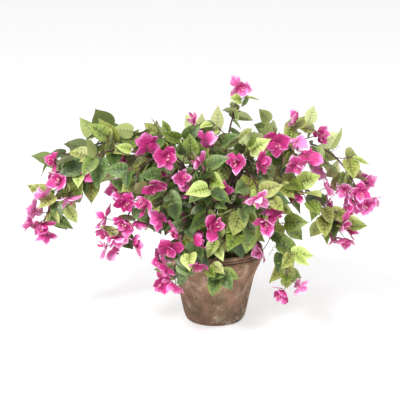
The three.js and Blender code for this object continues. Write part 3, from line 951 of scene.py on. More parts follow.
class Pile:
    """Many small pieces that are joined as one mesh."""

    MARGIN = 0.06  # of each piece's cell in the map, left free round it

    def __init__(self) -> None:
        """An empty pile."""
        self.points: list[Point] = []
        self.shades: list[Point] = []
        self.places: list[Point] = []
        self.faces: list[Point] = []
        self.slots: list[Point] = []
        self.count = 0
        self.cells = 0

    def add(
        self,
        points: Point,
        faces: list[Point],
        slot: int = 0,
        shades: "Point | float" = 0.5,
        places: Point | None = None,
    ) -> None:
        """Adds a piece.

        Args:
            points: Its points, in millimetres.
            faces: Arrays of faces, each of one number of corners.
            slot: Which of the materials it takes.
            shades: What each point carries as its shade.
            places: Where each point lies in the piece's own cell of the map, from 0 to 1.
        """
        self.points.append(points)
        self.shades.append(np.broadcast_to(shades, len(points)))
        for face in faces:
            self.faces.append(np.asarray(face) + self.count)
            self.slots.append(np.full(len(face), slot))
        self.count += len(points)
        if places is not None:
            cell = np.full((len(points), 1), self.cells)
            self.places.append(np.hstack([self.MARGIN + (1 - 2 * self.MARGIN) * places, cell]))
            self.cells += 1

    def tube(
        self, points: Point, radii: "Point | float", sides: int, slot: int = 0, wobble: float = 0.0
    ) -> None:
        """Adds a closed tube through a row of points.

        Args:
            points: The points of its middle.
            radii: Its radius at each point.
            sides: How many sides it has.
            slot: Which of the materials it takes.
            wobble: How far its surface stands out along the wound tape's edge, as a share of the radius.
        """
        n = len(points)
        radii = np.broadcast_to(np.asarray(radii, dtype=float), n)
        ahead = np.gradient(points, axis=0)
        across = np.cross(ahead[0], UP if abs(unit(ahead[0])[2]) < 0.9 else EAST)
        turns = FULL_TURN * np.arange(sides) / sides
        rings = []
        for k in range(n):
            tangent = unit(ahead[k])
            across = unit(across - tangent * float(across @ tangent))
            tape = ((turns / FULL_TURN + k * 0.27) % 1) ** 3
            reach = radii[k] * (1 + wobble * tape)
            rings.append(circle(points[k], turns, reach, across, np.cross(tangent, across)))
        root = points[0] - unit(ahead[0]) * radii[0] * 0.3
        tip = points[-1] + unit(ahead[-1]) * radii[-1] * 0.5
        self.add(np.concatenate([*rings, [root, tip]]), skin(n, sides), slot)

    def build(self, name: str, materials: list[bpy.types.Material], slot: str, *nodes: str) -> None:
        """Args:
            name: The piece's name.
            materials: Its materials, in the order of the slots.
            slot: The record's material slot. It is not used.
            nodes: The solids that it stands for.
        """
        mesh = bpy.data.meshes.new(name)
        mesh.vertices.add(self.count)
        mesh.vertices.foreach_set("co", (np.concatenate(self.points) * METRE).ravel())
        corners = np.concatenate([face.ravel() for face in self.faces])
        sizes = np.concatenate([np.full(len(face), face.shape[1]) for face in self.faces])
        mesh.loops.add(len(corners))
        mesh.loops.foreach_set("vertex_index", corners)
        mesh.polygons.add(len(sizes))
        mesh.polygons.foreach_set("loop_start", np.concatenate([[0], np.cumsum(sizes)[:-1]]))
        mesh.polygons.foreach_set("material_index", np.concatenate(self.slots))
        mesh.polygons.foreach_set("use_smooth", np.ones(len(sizes), dtype=bool))
        if self.places:
            places = np.concatenate(self.places)
            across = math.ceil(math.sqrt(self.cells))
            cell = places[:, 2]
            spots = (places[:, :2] + np.stack([cell % across, cell // across], 1)) / across
            mesh.uv_layers.new(name="OFBake").data.foreach_set("uv", spots[corners].ravel())
        shade = mesh.attributes.new("shade", "FLOAT", "POINT")
        shade.data.foreach_set("value", np.concatenate(self.shades))
        mesh.update(calc_edges=True)
        mesh.validate()
        for material in materials:
            mesh.materials.append(material)
        piece = bpy.data.objects.new(name, mesh)
        bpy.context.scene.collection.objects.link(piece)
        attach(piece, ROOT)
        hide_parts(*nodes)
        log.info("%s: %d triangles", name, int((sizes - 2).sum()))


class BladeGrid:
    """A leaf's or a bract's outline as columns of points, from its midrib out to both edges."""

    BOW = 1.25  # how the columns bend forward from the midrib
    RIB = (0.28, 0.03)  # the midrib's half width at its base, as a share of a row, and at its tip
    VEIN = (0.27, 0.17, 0.09, 0.01)  # a side vein's half width at each row, as a share of a column
    VEIN_FADE = 0.4  # the share of it that the last column's veins lose
    BEHIND = 0.06  # how far the map goes on behind the base, where the outline's corners lie

    def __init__(self, outline: tuple, midrib: tuple, rows: tuple, veins: range) -> None:
        """Lays out the grid.

        Args:
            outline: One edge, from base to tip, as shares of the length and the width.
            midrib: Where each column meets the midrib, as a share of the length.
            rows: Each row's share of the way from midrib to edge.
            veins: The columns that carry a side vein.
        """
        self.rows = len(rows) * 2 - 1
        self.columns = len(outline)
        self.middle = len(rows) - 1
        side = np.array([-share for share in rows[:0:-1]] + list(rows))
        spots = []
        for column, ((u, w), rib) in enumerate(zip(outline, midrib)):
            closed = column in (0, self.columns - 1)
            for share in side[self.middle : self.middle + 1] if closed else side:
                spots.append((rib + (u - rib) * abs(share) ** self.BOW, w * share, share, column))
        self.u, self.w, self.side, self.column = np.array(spots).T
        self.share = np.abs(self.side)
        self.inner = (self.share < 1) & (self.column > 0) & (self.column < self.columns - 1)
        self.places = np.stack([(self.u + self.BEHIND) / (1 + self.BEHIND), self.w + 0.5], 1)
        quads = [self.cells(column, (0, 0), (1, 0), (1, 1), (0, 1)) for column in range(1, self.columns - 2)]
        base = self.cells(0, (0, 0), (1, 0), (1, 1))
        tip = self.cells(self.columns - 2, (0, 0), (1, 0), (0, 1))
        self.top = [np.concatenate(quads), base, tip]
        self.bottom = [np.roll(faces[:, ::-1], 1, axis=1) for faces in self.top]
        self.print_lines(veins)

    def spot(self, column: int, row: "int | Point") -> "int | Point":
        """The number of the point in a column and row, where the first and the last column have only one."""
        return np.clip(1 + (column - 1) * self.rows + row, 0, len(self.u) - 1)

    def cells(self, column: int, *corners: tuple[int, int]) -> Point:
        """The faces along a column, each with its corners so many columns and rows further on."""
        return np.stack([self.spot(column + i, np.arange(self.rows - 1) + j) for i, j in corners], 1)

    def print_lines(self, veins: range) -> None:
        """Lays the printed veins over the grid: each point lies between two of the grid's.

        Args:
            veins: The columns that carry a side vein.
        """
        between: list[tuple[int, int, float]] = []
        faces: list[tuple[int, int, int, int]] = []

        def strip(line: list[tuple[int, int, float]], across: int, up: int) -> None:
            """Joins a line of the grid's points to ribbons of faces on both its sides.

            Args:
                line: The column and row of each point, and the half width of the ribbons there.
                across: How many columns it is from the line to the grid's next points on its left.
                up: How many rows it is to them.
            """
            first = len(between)
            for column, row, wide in line:
                for way in (1, 0, -1):
                    beside = self.spot(column + way * across, row + way * up)
                    between.append((self.spot(column, row), beside, abs(way) * wide))
            for k in range(first, len(between) - 3, 3):
                faces.extend([(k, k + 3, k + 4, k + 1), (k + 1, k + 4, k + 5, k + 2)])

        widths = self.RIB[0] * (1 - np.arange(self.columns - 2) / self.columns) + self.RIB[1]
        strip([(column, self.middle, wide) for column, wide in enumerate(widths)], 0, 1)
        for column in veins:
            fade = 1 - self.VEIN_FADE * column / self.columns
            for way in (-1, 1):
                steps = enumerate(self.VEIN[: self.middle + 1])
                strip([(column, self.middle + way * step, wide * fade) for step, wide in steps], -way, 0)
        self.vein_from, self.vein_to, share = (np.array(values) for values in zip(*between))
        self.vein_share = share[:, None]
        self.vein_faces = [np.array(faces)]
        self.vein_backs = [np.array(faces)[:, ::-1]]

    def veins(self, points: Point, lift: Point) -> Point:
        """Where the printed veins lie on a blade, a lift away from its points."""
        return points[self.vein_from] * (1 - self.vein_share) + points[self.vein_to] * self.vein_share + lift

    def sheet(
        self, base: Point, axes: tuple, amounts: tuple, thickness: float, rim: float
    ) -> tuple[Point, Point]:
        """The two sides of a thin blade, closed along its edge.

        Args:
            base: Where the blade is rooted.
            axes: The directions along it, across it and out of its face.
            amounts: How far the grid's points lie along each of them.
            thickness: How thick it is at the midrib.
            rim: The share of this that is left at the edge.

        Returns:
            The points of the side that faces out, and of the other.
        """
        face = base
        for amount, axis in zip(amounts, axes):
            face = face + np.outer(amount, axis)
        depth = thickness * (rim + (1 - rim) * (1 - self.share)) * self.inner
        return face, face - np.outer(depth, axes[2])


# ---------------------------------------------------------------- finishes


@dataclass(frozen=True)
class Patches:
    """Noise that is cut to patches: none below low, whole above high, never more than the share."""

    scale: float
    detail: float
    roughness: float
    low: float
    high: float
    share: float = 1.0

    def on(self, board: Board, at: Wire | None = None) -> Wire:
        """How much of the patches' paint a point takes, read at another place if one is given."""
        mask = board.cloud(self.scale, self.detail, self.roughness, at).band(self.low, self.high)
        return mask if self.share == 1 else mask * self.share


@dataclass(frozen=True)
class AgedClay:
    """Old terracotta: mottled, darker low down, with grey-green stains and lime bloom."""

    clay: Colour = paint(133, 103, 83)
    salmon: Colour = paint(174, 137, 114)
    brown: Colour = paint(94, 71, 56)
    soot_and_shade: Colour = paint(64, 51, 41)
    moss: Colour = paint(108, 102, 72)
    lime: Colour = paint(208, 192, 170)
    darker_below: tuple[float, float] = (0.004, 0.08)  # the heights between which the darkening towards the bottom dies out
    depth: float = 0.0011  # of the grain

    def material(self) -> bpy.types.Material:
        """Mixes the clay, which reads the mesh's shade as grime and painted shade in its grooves and as
        painted shade over the inside of the pot.

        Returns:
            The material.
        """
        board = Board("aged_clay")
        height = board.node("ShaderNodeSeparateXYZ", None, {0: board.place()}, "Z")
        low = 1 - height.band(*self.darker_below)
        streaked = board.stretched(1, 1, 0.7)
        colour = board.blend(Patches(24, 6, 0.65, 0.4, 0.62).on(board), self.clay, self.salmon)
        for mask, stain in (
            (Patches(34, 7, 0.7, 0.47, 0.66, 0.65).on(board), self.brown),
            # darker towards the bottom, as a wash and in patches
            (low * 0.5, self.brown),
            (low * Patches(30, 6, 0.7, 0.38, 0.6).on(board) * 0.7, self.soot_and_shade),
            (Patches(27, 6, 0.75, 0.52, 0.64, 0.45).on(board), self.moss),
            (Patches(62, 7, 0.75, 0.5, 0.7, 0.55).on(board, streaked), self.lime),
            (Patches(700, 3, 0.6, 0.56, 0.7, 0.22).on(board), self.soot_and_shade),
            (Patches(1100, 2, 0.5, 0.6, 0.72, 0.2).on(board), self.lime),
            # grime and painted shade in the grooves, painted shade over the inside of the pot
            (board.painted("shade").band(0.55, 1) * 0.75, self.soot_and_shade),
        ):
            colour = board.blend(mask, colour, stain)
        grain = board.cloud(420, 6, 0.7) * 0.6 + board.cloud(70, 4, 0.6) * 0.9
        normal = board.bump(grain, self.depth, 0.55)
        return board.dress(Base_Color=colour, Roughness=0.9, Normal=normal, Specular_IOR_Level=0.25)


@dataclass(frozen=True)
class Grained:
    """A rough stuff of two colours in patches, with a fine grain: dried moss, or wire wound with tape."""

    name: str
    dark: Colour
    light: Colour
    patches: Patches
    grain: tuple[float, float, float]  # the noise's scale, detail and roughness
    depth: float
    roughness: float

    def material(self) -> bpy.types.Material:
        """Mixes the two colours.

        Returns:
            The material.
        """
        board = Board(self.name)
        colour = board.blend(self.patches.on(board), self.dark, self.light)
        normal = board.bump(board.cloud(*self.grain), self.depth)
        return board.dress(Base_Color=colour, Roughness=self.roughness, Normal=normal)


def wound_wire(name: str, dark: Colour, light: Colour) -> Grained:
    """Wire wound with paper tape, dyed like bark in two colours."""
    return Grained(name, dark, light, Patches(240, 4, 0.6, 0.35, 0.7), (800, 3, 0.6), 0.0004, 0.72)


@dataclass(frozen=True)
class LeafCloth:
    """Printed satin cloth: one green at the midrib that runs out into another at the rim."""

    heart: Colour
    rim: Colour
    under: Colour
    sheen: float = 0.03
    mottle_and_highlight: float = 0.72
    crease_shade: float = 0.3  # how dark the mottled print and the painted shade in the creases are, beside the midrib's green

    def top(self, name: str) -> bpy.types.Material:
        """The upper side, which reads the mesh's shade as the way out from the midrib.

        Args:
            name: The piece's name.

        Returns:
            The material.
        """
        board = Board(name + "_top")
        run = board.painted("shade") + (board.cloud(90, 3) - 0.5) * 0.5
        colour = board.blend(run.band(0.1, 0.95), self.heart, self.rim)
        creases = board.cloud(230, 4, 0.65)
        # the dark green of the mottled print and of the painted crease shade, where the crease noise is high
        dark = tuple(self.crease_shade * channel for channel in self.heart)
        colour = board.blend(creases.band(0.5, 0.66) * self.mottle_and_highlight, colour, dark)
        # painted highlight: the underside's paler green where the crease noise is low
        colour = board.blend((1 - creases.band(0.34, 0.47)) * self.mottle_and_highlight * 0.6, colour, self.under)
        normal = board.bump(creases, 0.0011, 0.8)
        sheen = {"Sheen_Weight": self.sheen, "Sheen_Roughness": 0.4}
        return board.dress(Base_Color=colour, Roughness=0.38, Normal=normal, **sheen)

    def back(self, name: str) -> bpy.types.Material:
        """The underside, plain and paler.

        Args:
            name: The piece's name.

        Returns:
            The material.
        """
        board = Board(name + "_back")
        normal = board.bump(board.cloud(330, 3, 0.5), 0.0005, 0.5)
        return board.dress(Base_Color=self.under, Roughness=0.7, Normal=normal, Sheen_Weight=self.sheen)


@dataclass(frozen=True)
class BractCloth:
    """Thin dyed cloth, deepest at the base of each bract and pale at its rim."""

    deep: Colour
    body: Colour
    pale: Colour

    def material(self, name: str) -> bpy.types.Material:
        """The material, which reads the mesh's shade as the way out from the base.

        Args:
            name: The piece's name.

        Returns:
            The material.
        """
        board = Board(name)
        run = board.painted("shade") + (board.cloud(240, 4, 0.65) - 0.5) * 0.75
        stops = [(0.05, self.deep), (0.34, self.body), (0.56, self.body), (0.86, self.pale)]
        colour = board.node("ShaderNodeValToRGB", {"stops": stops}, {0: run})
        normal = board.bump(board.cloud(260, 4, 0.6), 0.0011, 0.8)
        sheen = {"Sheen_Weight": 0.35, "Sheen_Roughness": 0.35}
        return board.dress(Base_Color=colour, Roughness=0.55, Normal=normal, **sheen)


@dataclass(frozen=True)
class Dye:
    """A plain dye, for print and for what is too thin to show more."""

    colour: Colour
    roughness: float = 0.6

    def material(self, name: str) -> bpy.types.Material:
        """The material."""
        return Board(name).dress(Base_Color=self.colour, Roughness=self.roughness)


# ---------------------------------------------------------------- sub-assemblies


@dataclass
class Pot:
    """The clay pot, turned anew with its two rim lines, soft lip and the unevenness of hand work."""

    sides: int = 120
    uneven: float = 0.45
    still: float = 8.0  # the height up to which the unevenness grows, so that the pot stands flat
    finish: AgedClay = AgedClay()
    # (radius, height, grime and painted shade) from the middle of its underside, up the outside, over the lip
    # and down inside
    profile: tuple = (
        *((0, 0, 0.3), (30, 0, 0.3), (43.6, 0, 0.5), (45.4, 0.5, 0.6), (47.2, 2.2, 0.5), (48.9, 5.4, 0.4)),
        *((50.9, 12, 0.35), (53.0, 22, 0.3), (55.2, 33, 0.3), (57.4, 44, 0.3), (59.7, 55, 0.3)),
        *((61.8, 65, 0.3), (63.7, 73, 0.3), (66.0, 79.5, 0.3), (69.2, 87.5, 0.35), (72.6, 94.6, 0.35)),
        *((75.7, 101.2, 0.35), (77.9, 106.5, 0.3), (78.6, 109.6, 0.3), (78.2, 111.6, 0.4)),
        *((77.4, 112.6, 0.8), (76.2, 113.1, 1.0), (75.9, 113.7, 1.0), (76.9, 114.3, 0.7)),
        *((77.3, 115.4, 0.3), (76.9, 116.6, 0.6), (75.6, 117.1, 1.0), (75.5, 117.7, 1.0)),
        *((76.6, 118.2, 0.6), (76.8, 119.8, 0.25), (76.2, 121.6, 0.15), (74.9, 122.7, 0.1)),
        *((73.2, 123, 0.1), (71.6, 122.5, 0.2), (70.6, 121.2, 0.35), (69.9, 117, 0.5), (68.5, 110, 0.8)),
        *((63.6, 91, 1.0), (57.5, 72.7, 1.0), (50.5, 40, 1.0), (43.9, 10.6, 1.0)),
        *((42, 10, 1.0), (0, 10, 1.0)),
    )

    def build(self) -> None:
        """Turns the pot and dresses it."""
        low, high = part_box("pot")
        scale = (high.z - low.z) / (max(z for _, z, _ in self.profile) * METRE)
        points, faces = turned([(r * scale, z * scale) for r, z, _ in self.profile], self.sides)
        swell = rumple(points, 55, 3) * self.uneven + rumple(points, 13, 9) * self.uneven * 0.35
        points = swollen(points, swell * np.clip(points[:, 2] / self.still, 0, 1))
        dirt_and_shade = np.array([d for _, _, d in self.profile[1:-1]]).repeat(self.sides)
        pile = Pile()
        pile.add(points, faces, 0, np.concatenate([dirt_and_shade, [self.profile[0][2], self.profile[-1][2]]]))
        pile.build("pot_body", [self.finish.material()], "terracotta", "pot")


@dataclass
class Moss:
    """The moss in the pot: a bumpy bed with short curled blades standing out of it."""

    rings: int = 16
    sides: int = 72
    depth: float = 14.0
    crown: float = 1.8  # how far the bed falls from its middle to the clay
    bump: float = 0.96
    bumpy_from: float = 6.0  # the depth below the bed's middle above which it is bumpy
    blades: int = 1300
    blade: float = 6.0
    lengths: tuple = (0.6, 1.2)  # the least and the greatest of a blade, as shares of this
    sunk: float = 1.8  # how deep the blades are rooted
    radii: tuple = (0.45, 0.4, 0.25, 0.06)  # of a blade, from its root to its tip
    seed: int = 41
    finish: Grained = Grained(
        *("dry_moss", paint(58, 52, 30), paint(122, 112, 62)),
        *(Patches(190, 5, 0.65, 0.35, 0.68), (700, 4, 0.6), 0.0012, 0.95),
    )

    def build(self) -> None:
        """Lays the bed, sets the blades in it and dresses both."""
        low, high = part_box("pot_fill")
        reach = high.x / METRE
        top = high.z / METRE
        shares = np.linspace(0, 1, self.rings)
        profile = [(0, top - self.depth)] + [(reach * s, top - self.depth) for s in shares[1:]]
        profile += [(reach * s, top - 0.6 - self.crown * s * s) for s in shares[::-1]]
        points, faces = turned(profile, self.sides)
        inside = np.hypot(points[:, 0], points[:, 1]) < reach * 0.99
        raised = (points[:, 2] > top - self.bumpy_from) & inside
        points[:, 2] += raised * (rumple(points, 7, 1) + 0.5 * rumple(points, 3, 5)) * self.bump
        bed = Pile()
        bed.add(points, faces)
        material = self.finish.material()
        bed.build("moss_bed", [material], "moss", "pot_fill")
        dice = Dice(self.seed)
        tufts = Pile()
        for _ in range(self.blades):
            turn = dice.between(*ANY_TURN)
            radius = reach * 0.96 * math.sqrt(dice.roll())
            root = np.array([radius * math.cos(turn), radius * math.sin(turn), top - self.sunk])
            lean = dice.scatter() * [1, 1, 0.3] + UP * 0.7
            curl = dice.scatter() * [1, 1, 0.2]
            length = self.blade * dice.between(*self.lengths)
            steps = [root + lean * length * s * 0.8 + curl * length * s * s * 0.5 for s in (0, 0.4, 0.75, 1)]
            tufts.tube(np.array(steps), np.array(self.radii), 3)
        tufts.build("moss_tufts", [material], "moss")


@dataclass
class Stem:
    """The short stem inside the bush: the bough wires bound together, with their ridges."""

    BASE = (112, 11)  # the height and radius at its foot, without the flare
    CROWN = (172, 7.5)  # the same at its top

    foot: float = 112.3
    top: float = 172.0
    flare: float = 13.5
    flare_height: float = 3.2
    shoulder: float = 4.0
    tip: float = 4.5
    sides: int = 60
    strands: int = 9
    ridge: float = 0.7
    twist: float = 0.022
    lean: float = 1.5

    @classmethod
    def radius(cls, z: float) -> float:
        """The stem's radius at a height, without the flare at its foot."""
        return taper(cls.BASE[1], cls.CROWN[1], (z - cls.BASE[0]) / (cls.CROWN[0] - cls.BASE[0]))

    def outer(self, z: float) -> float:
        """The radius with the flare and the rounded top.

        Args:
            z: The height.

        Returns:
            The radius.
        """
        flare = (self.flare - self.radius(self.foot)) * math.exp(-(z - self.foot) / self.flare_height)
        rounding = max(0, (z - (self.top - self.shoulder)) / self.shoulder)
        return taper(self.radius(z) + flare, self.tip, rounding**1.7)

    def build(self, bark: bpy.types.Material) -> None:
        """Raises the stem and dresses it.

        Args:
            bark: The bark's material.
        """
        shaft = np.linspace(self.foot - 1.5, self.top - self.shoulder - 1, 30)
        heights = np.concatenate([shaft, np.linspace(self.top - self.shoulder, self.top, 6)])
        profile = [(0, heights[0])] + [(self.outer(z), z) for z in heights] + [(0, self.top + 0.3)]
        points, faces = turned(profile, self.sides)
        turn = np.arctan2(points[:, 1], points[:, 0])
        ridges = np.abs(np.sin(self.strands / 2 * (turn + self.twist * points[:, 2]))) - 0.65
        points = swollen(points, ridges * self.ridge + rumple(points, 6, 2) * 0.35)
        points[:, 0] += self.lean * (points[:, 2] - self.foot) / (self.top - self.foot)
        pile = Pile()
        pile.add(points, faces)
        pile.build("stem_bark", [bark], "wrapped_wire", "stem")


@dataclass
class Limbs:
    """The boughs, the sprays' stems that go on from them, side twigs and leaf stalks."""

    pitch: float = 3.2  # between the rings of a bough
    sides: int = 9
    root: float = 2.0
    end: float = 1.15
    jog: float = 1.1  # how far a bough strays from its curve
    tape: float = 0.1  # how far the tape's edge stands out, as a share of the radius
    twig: tuple = (0.85, 0.6)
    twig_tape: float = 0.08
    stalk: float = 0.42
    old: Grained = wound_wire("wrapped_wire", paint(52, 34, 36), paint(104, 74, 72))
    young: Grained = wound_wire("young_wire", paint(86, 58, 54), paint(128, 104, 70))

    def bough(self, pile: Pile, spray: Spray, first: float, last: float) -> None:
        """Adds a part of one bough's smooth curve.

        Args:
            pile: Where it is added.
            spray: The bough's spray.
            first: The share of the curve's length where the part begins.
            last: The share where it ends.
        """
        count = max(6, int(spray.length * (last - first) / self.pitch))
        shares = np.linspace(first, last, count)
        points = spray.curve(shares)
        jog = np.stack([rumple(points, 26, 10 + axis) for axis in range(3)], 1)
        points = points + jog * (self.jog * np.sin(np.pi * shares) ** 0.5)[:, None]
        radii = self.root + (self.end - self.root) * shares**0.8
        radii = radii * (1 + 0.07 * rumple(points, 5, 4))
        if first == 0:  # it starts inside the stem, a little thicker
            points = np.concatenate([[points[0] - spray.out * 3], points])
            radii = np.concatenate([[radii[0] * 1.15], radii])
        pile.tube(points, radii, self.sides, wobble=self.tape)

    def arc(self, root: Point, leaving: Point, end: Point, steps: int) -> Point:
        """A curved way between two points.

        Args:
            root: The first point.
            leaving: The direction in which the way leaves it.
            end: The last point.
            steps: How many points the way has.

        Returns:
            Its points.
        """
        span = end - root
        handle = root + leaving * float(np.linalg.norm(span)) * 0.35
        bend = handle * 0.5 + (root + span * 0.5) * 0.5
        t = np.linspace(0, 1, steps)[:, None]
        return (1 - t) ** 2 * root + 2 * (1 - t) * t * bend + t * t * end

    def build(self, crown: Crown) -> bpy.types.Material:
        """Makes every limb and dresses it.

        Args:
            crown: The grown crown.

        Returns:
            The bark, for the stem and the tendrils.
        """
        old, young = self.old.material(), self.young.material()
        names = [spray.row.name for spray in crown.sprays]
        boughs, stems, twigs, stalks = Pile(), Pile(), Pile(), Pile()
        for spray in crown.sprays:
            self.bough(boughs, spray, 0, spray.row.bare)
            self.bough(stems, spray, spray.row.bare, 1)
            for twig in spray.twigs:
                points = self.arc(twig.root, twig.leaving, twig.end, 7)
                twigs.tube(points, np.linspace(*self.twig, 7), 6, wobble=self.twig_tape)
            for leaf in spray.leaves:
                tip = leaf.base + leaf.along * leaf.length * 0.03 - leaf.face * 0.25
                points = self.arc(leaf.root, leaf.face * 0.6 + leaf.along * 0.4, tip, 5)
                stalks.tube(points, self.stalk, 5)
        boughs.build("boughs_bark", [old], "wrapped_wire", *["bough_" + name for name in names])
        stems.build("spray_stems_bark", [old], "wrapped_wire", *["spray_" + name for name in names])
        twigs.build("twigs", [young], "wrapped_wire")
        stalks.build("leaf_stalks", [young], "wrapped_wire")
        return old


LEAF_GRID = BladeGrid(
    outline=(
        *((0, 0), (-0.035, 0.09), (-0.05, 0.18), (-0.035, 0.275), (0.01, 0.36), (0.075, 0.43)),
        *((0.155, 0.475), (0.24, 0.497), (0.33, 0.498), (0.42, 0.476), (0.51, 0.434), (0.60, 0.370)),
        *((0.69, 0.288), (0.775, 0.198), (0.855, 0.114), (0.93, 0.047), (1, 0)),
    ),
    midrib=(
        *(0, 0.004, 0.012, 0.026, 0.045, 0.075, 0.115, 0.165, 0.225),
        *(0.29, 0.36, 0.44, 0.53, 0.63, 0.74, 0.87, 1),
    ),
    rows=(0, 0.2, 0.45, 0.72, 1),
    veins=range(2, 13, 2),
)
CLOTHS = {
    Tone.DEEP: LeafCloth(paint(48, 74, 16), paint(80, 104, 36), paint(108, 124, 62)),
    Tone.SAGE: LeafCloth(paint(78, 104, 42), paint(118, 142, 80), paint(148, 164, 112), 0.06),
    Tone.MID: LeafCloth(paint(96, 120, 34), paint(134, 152, 66), paint(152, 164, 96)),
    Tone.OLIVE: LeafCloth(paint(138, 148, 58), paint(170, 174, 100), paint(176, 180, 122)),
    Tone.LIME: LeafCloth(paint(158, 180, 76), paint(194, 206, 128), paint(200, 210, 148), 0.03, 0.3),
}
INKS = {"dark": Dye(paint(60, 40, 36)), "soft": Dye(paint(50, 66, 38)), "back": Dye(paint(108, 118, 66))}


@dataclass
class Foliage:
    """The leaves: folded, drooping blades of printed cloth with their veins, a piece for each green.

    A pair of numbers is the least and the greatest that a leaf may have, most of them as shares of its
    length.
    """

    thickness: float = 0.45
    quilting: float = 0.45  # how far the cloth stands up between its veins
    print_lift: float = 0.1
    fold: tuple = (0.07, 0.2)
    droop: tuple = (0.06, 0.17)
    twist: tuple = (-0.09, 0.09)
    bend: tuple = (-0.07, 0.07)
    wave: tuple = (0.004, 0.018)
    curl: tuple = (-0.03, 0.05)
    narrowing: tuple = (0.7, 1.0)
    tinge: tuple = (-0.3, 0.25)
    grid: BladeGrid = LEAF_GRID

    def blade(self, leaf: Leaf) -> tuple[Point, Point]:
        """The shape of one leaf.

        Args:
            leaf: The leaf.

        Returns:
            The points of its upper side and of its underside.
        """
        grid = self.grid
        fold, droop, twist, bend, wave, phase, curl, narrowing = leaf.looks.each(
            self.fold, self.droop, self.twist, self.bend, self.wave, ANY_TURN, self.curl, self.narrowing
        )
        lift = fold * np.abs(grid.w) - droop * grid.u**2 + twist * grid.u * grid.w
        lift += wave * np.sin(9 * grid.u + phase) * grid.share**2 * np.sign(grid.side + 0.01)
        lift -= curl * np.clip(grid.u - 0.75, 0, 1) * 2
        raised = (grid.column % 2) * (grid.column > 1)
        height = leaf.length * lift + self.quilting * raised * np.sin(np.pi * np.clip(grid.share, 0, 0.95))
        side = leaf.width * narrowing * (grid.w + bend * grid.u**2)
        axes = (leaf.along, leaf.across, leaf.face)
        return grid.sheet(leaf.base, axes, (grid.u * leaf.length, side, height), self.thickness, 0.45)

    def build(self, crown: Crown) -> None:
        """Makes the leaves and their veins, and dresses them.

        Args:
            crown: The grown crown.
        """
        names = ["spray_" + spray.row.name for spray in crown.sprays]
        piles = {tone: Pile() for tone in Tone}
        inks = {name: Pile() for name in INKS}
        grid = self.grid
        shade = grid.share * 0.8 + grid.u * 0.2
        for leaf in (leaf for spray in crown.sprays for leaf in spray.leaves):
            top, back = self.blade(leaf)
            tinge = leaf.looks.between(*self.tinge)
            piles[leaf.tone].add(top, grid.top, 0, shade + tinge, grid.places)
            piles[leaf.tone].add(back, grid.bottom, 1, shade + tinge, grid.places)
            ink = "soft" if leaf.tone in (Tone.DEEP, Tone.SAGE) else "dark"
            inks[ink].add(grid.veins(top, leaf.face * self.print_lift), grid.vein_faces)
            inks["back"].add(grid.veins(back, -leaf.face * self.print_lift), grid.vein_backs)
        for tone, pile in piles.items():
            name = "leaves_" + tone.value
            pile.build(name, [CLOTHS[tone].top(name), CLOTHS[tone].back(name)], "silk_foliage", *names)
        for name, pile in inks.items():
            pile.build("leaf_print_" + name, [INKS[name].material("print_" + name)], "silk_foliage")


BRACT_GRID = BladeGrid(
    outline=(
        *((0, 0), (0.02, 0.06), (0.07, 0.16), (0.14, 0.26), (0.24, 0.355), (0.36, 0.425), (0.48, 0.455)),
        *((0.60, 0.435), (0.71, 0.372), (0.81, 0.272), (0.89, 0.168), (0.95, 0.078), (1, 0)),
    ),
    midrib=(0, 0.03, 0.08, 0.15, 0.24, 0.34, 0.45, 0.56, 0.67, 0.77, 0.86, 0.94, 1),
    rows=(0, 0.34, 0.68, 1),
    veins=range(2, 9, 3),
)
BRACT_CLOTHS = {
    Bloom.MAGENTA: BractCloth(paint(128, 6, 70), paint(188, 32, 118), paint(232, 128, 192)),
    Bloom.ROSE: BractCloth(paint(152, 12, 88), paint(212, 66, 148), paint(246, 182, 226)),
    Bloom.BLUSH: BractCloth(paint(186, 40, 120), paint(234, 128, 192), paint(254, 222, 244)),
}


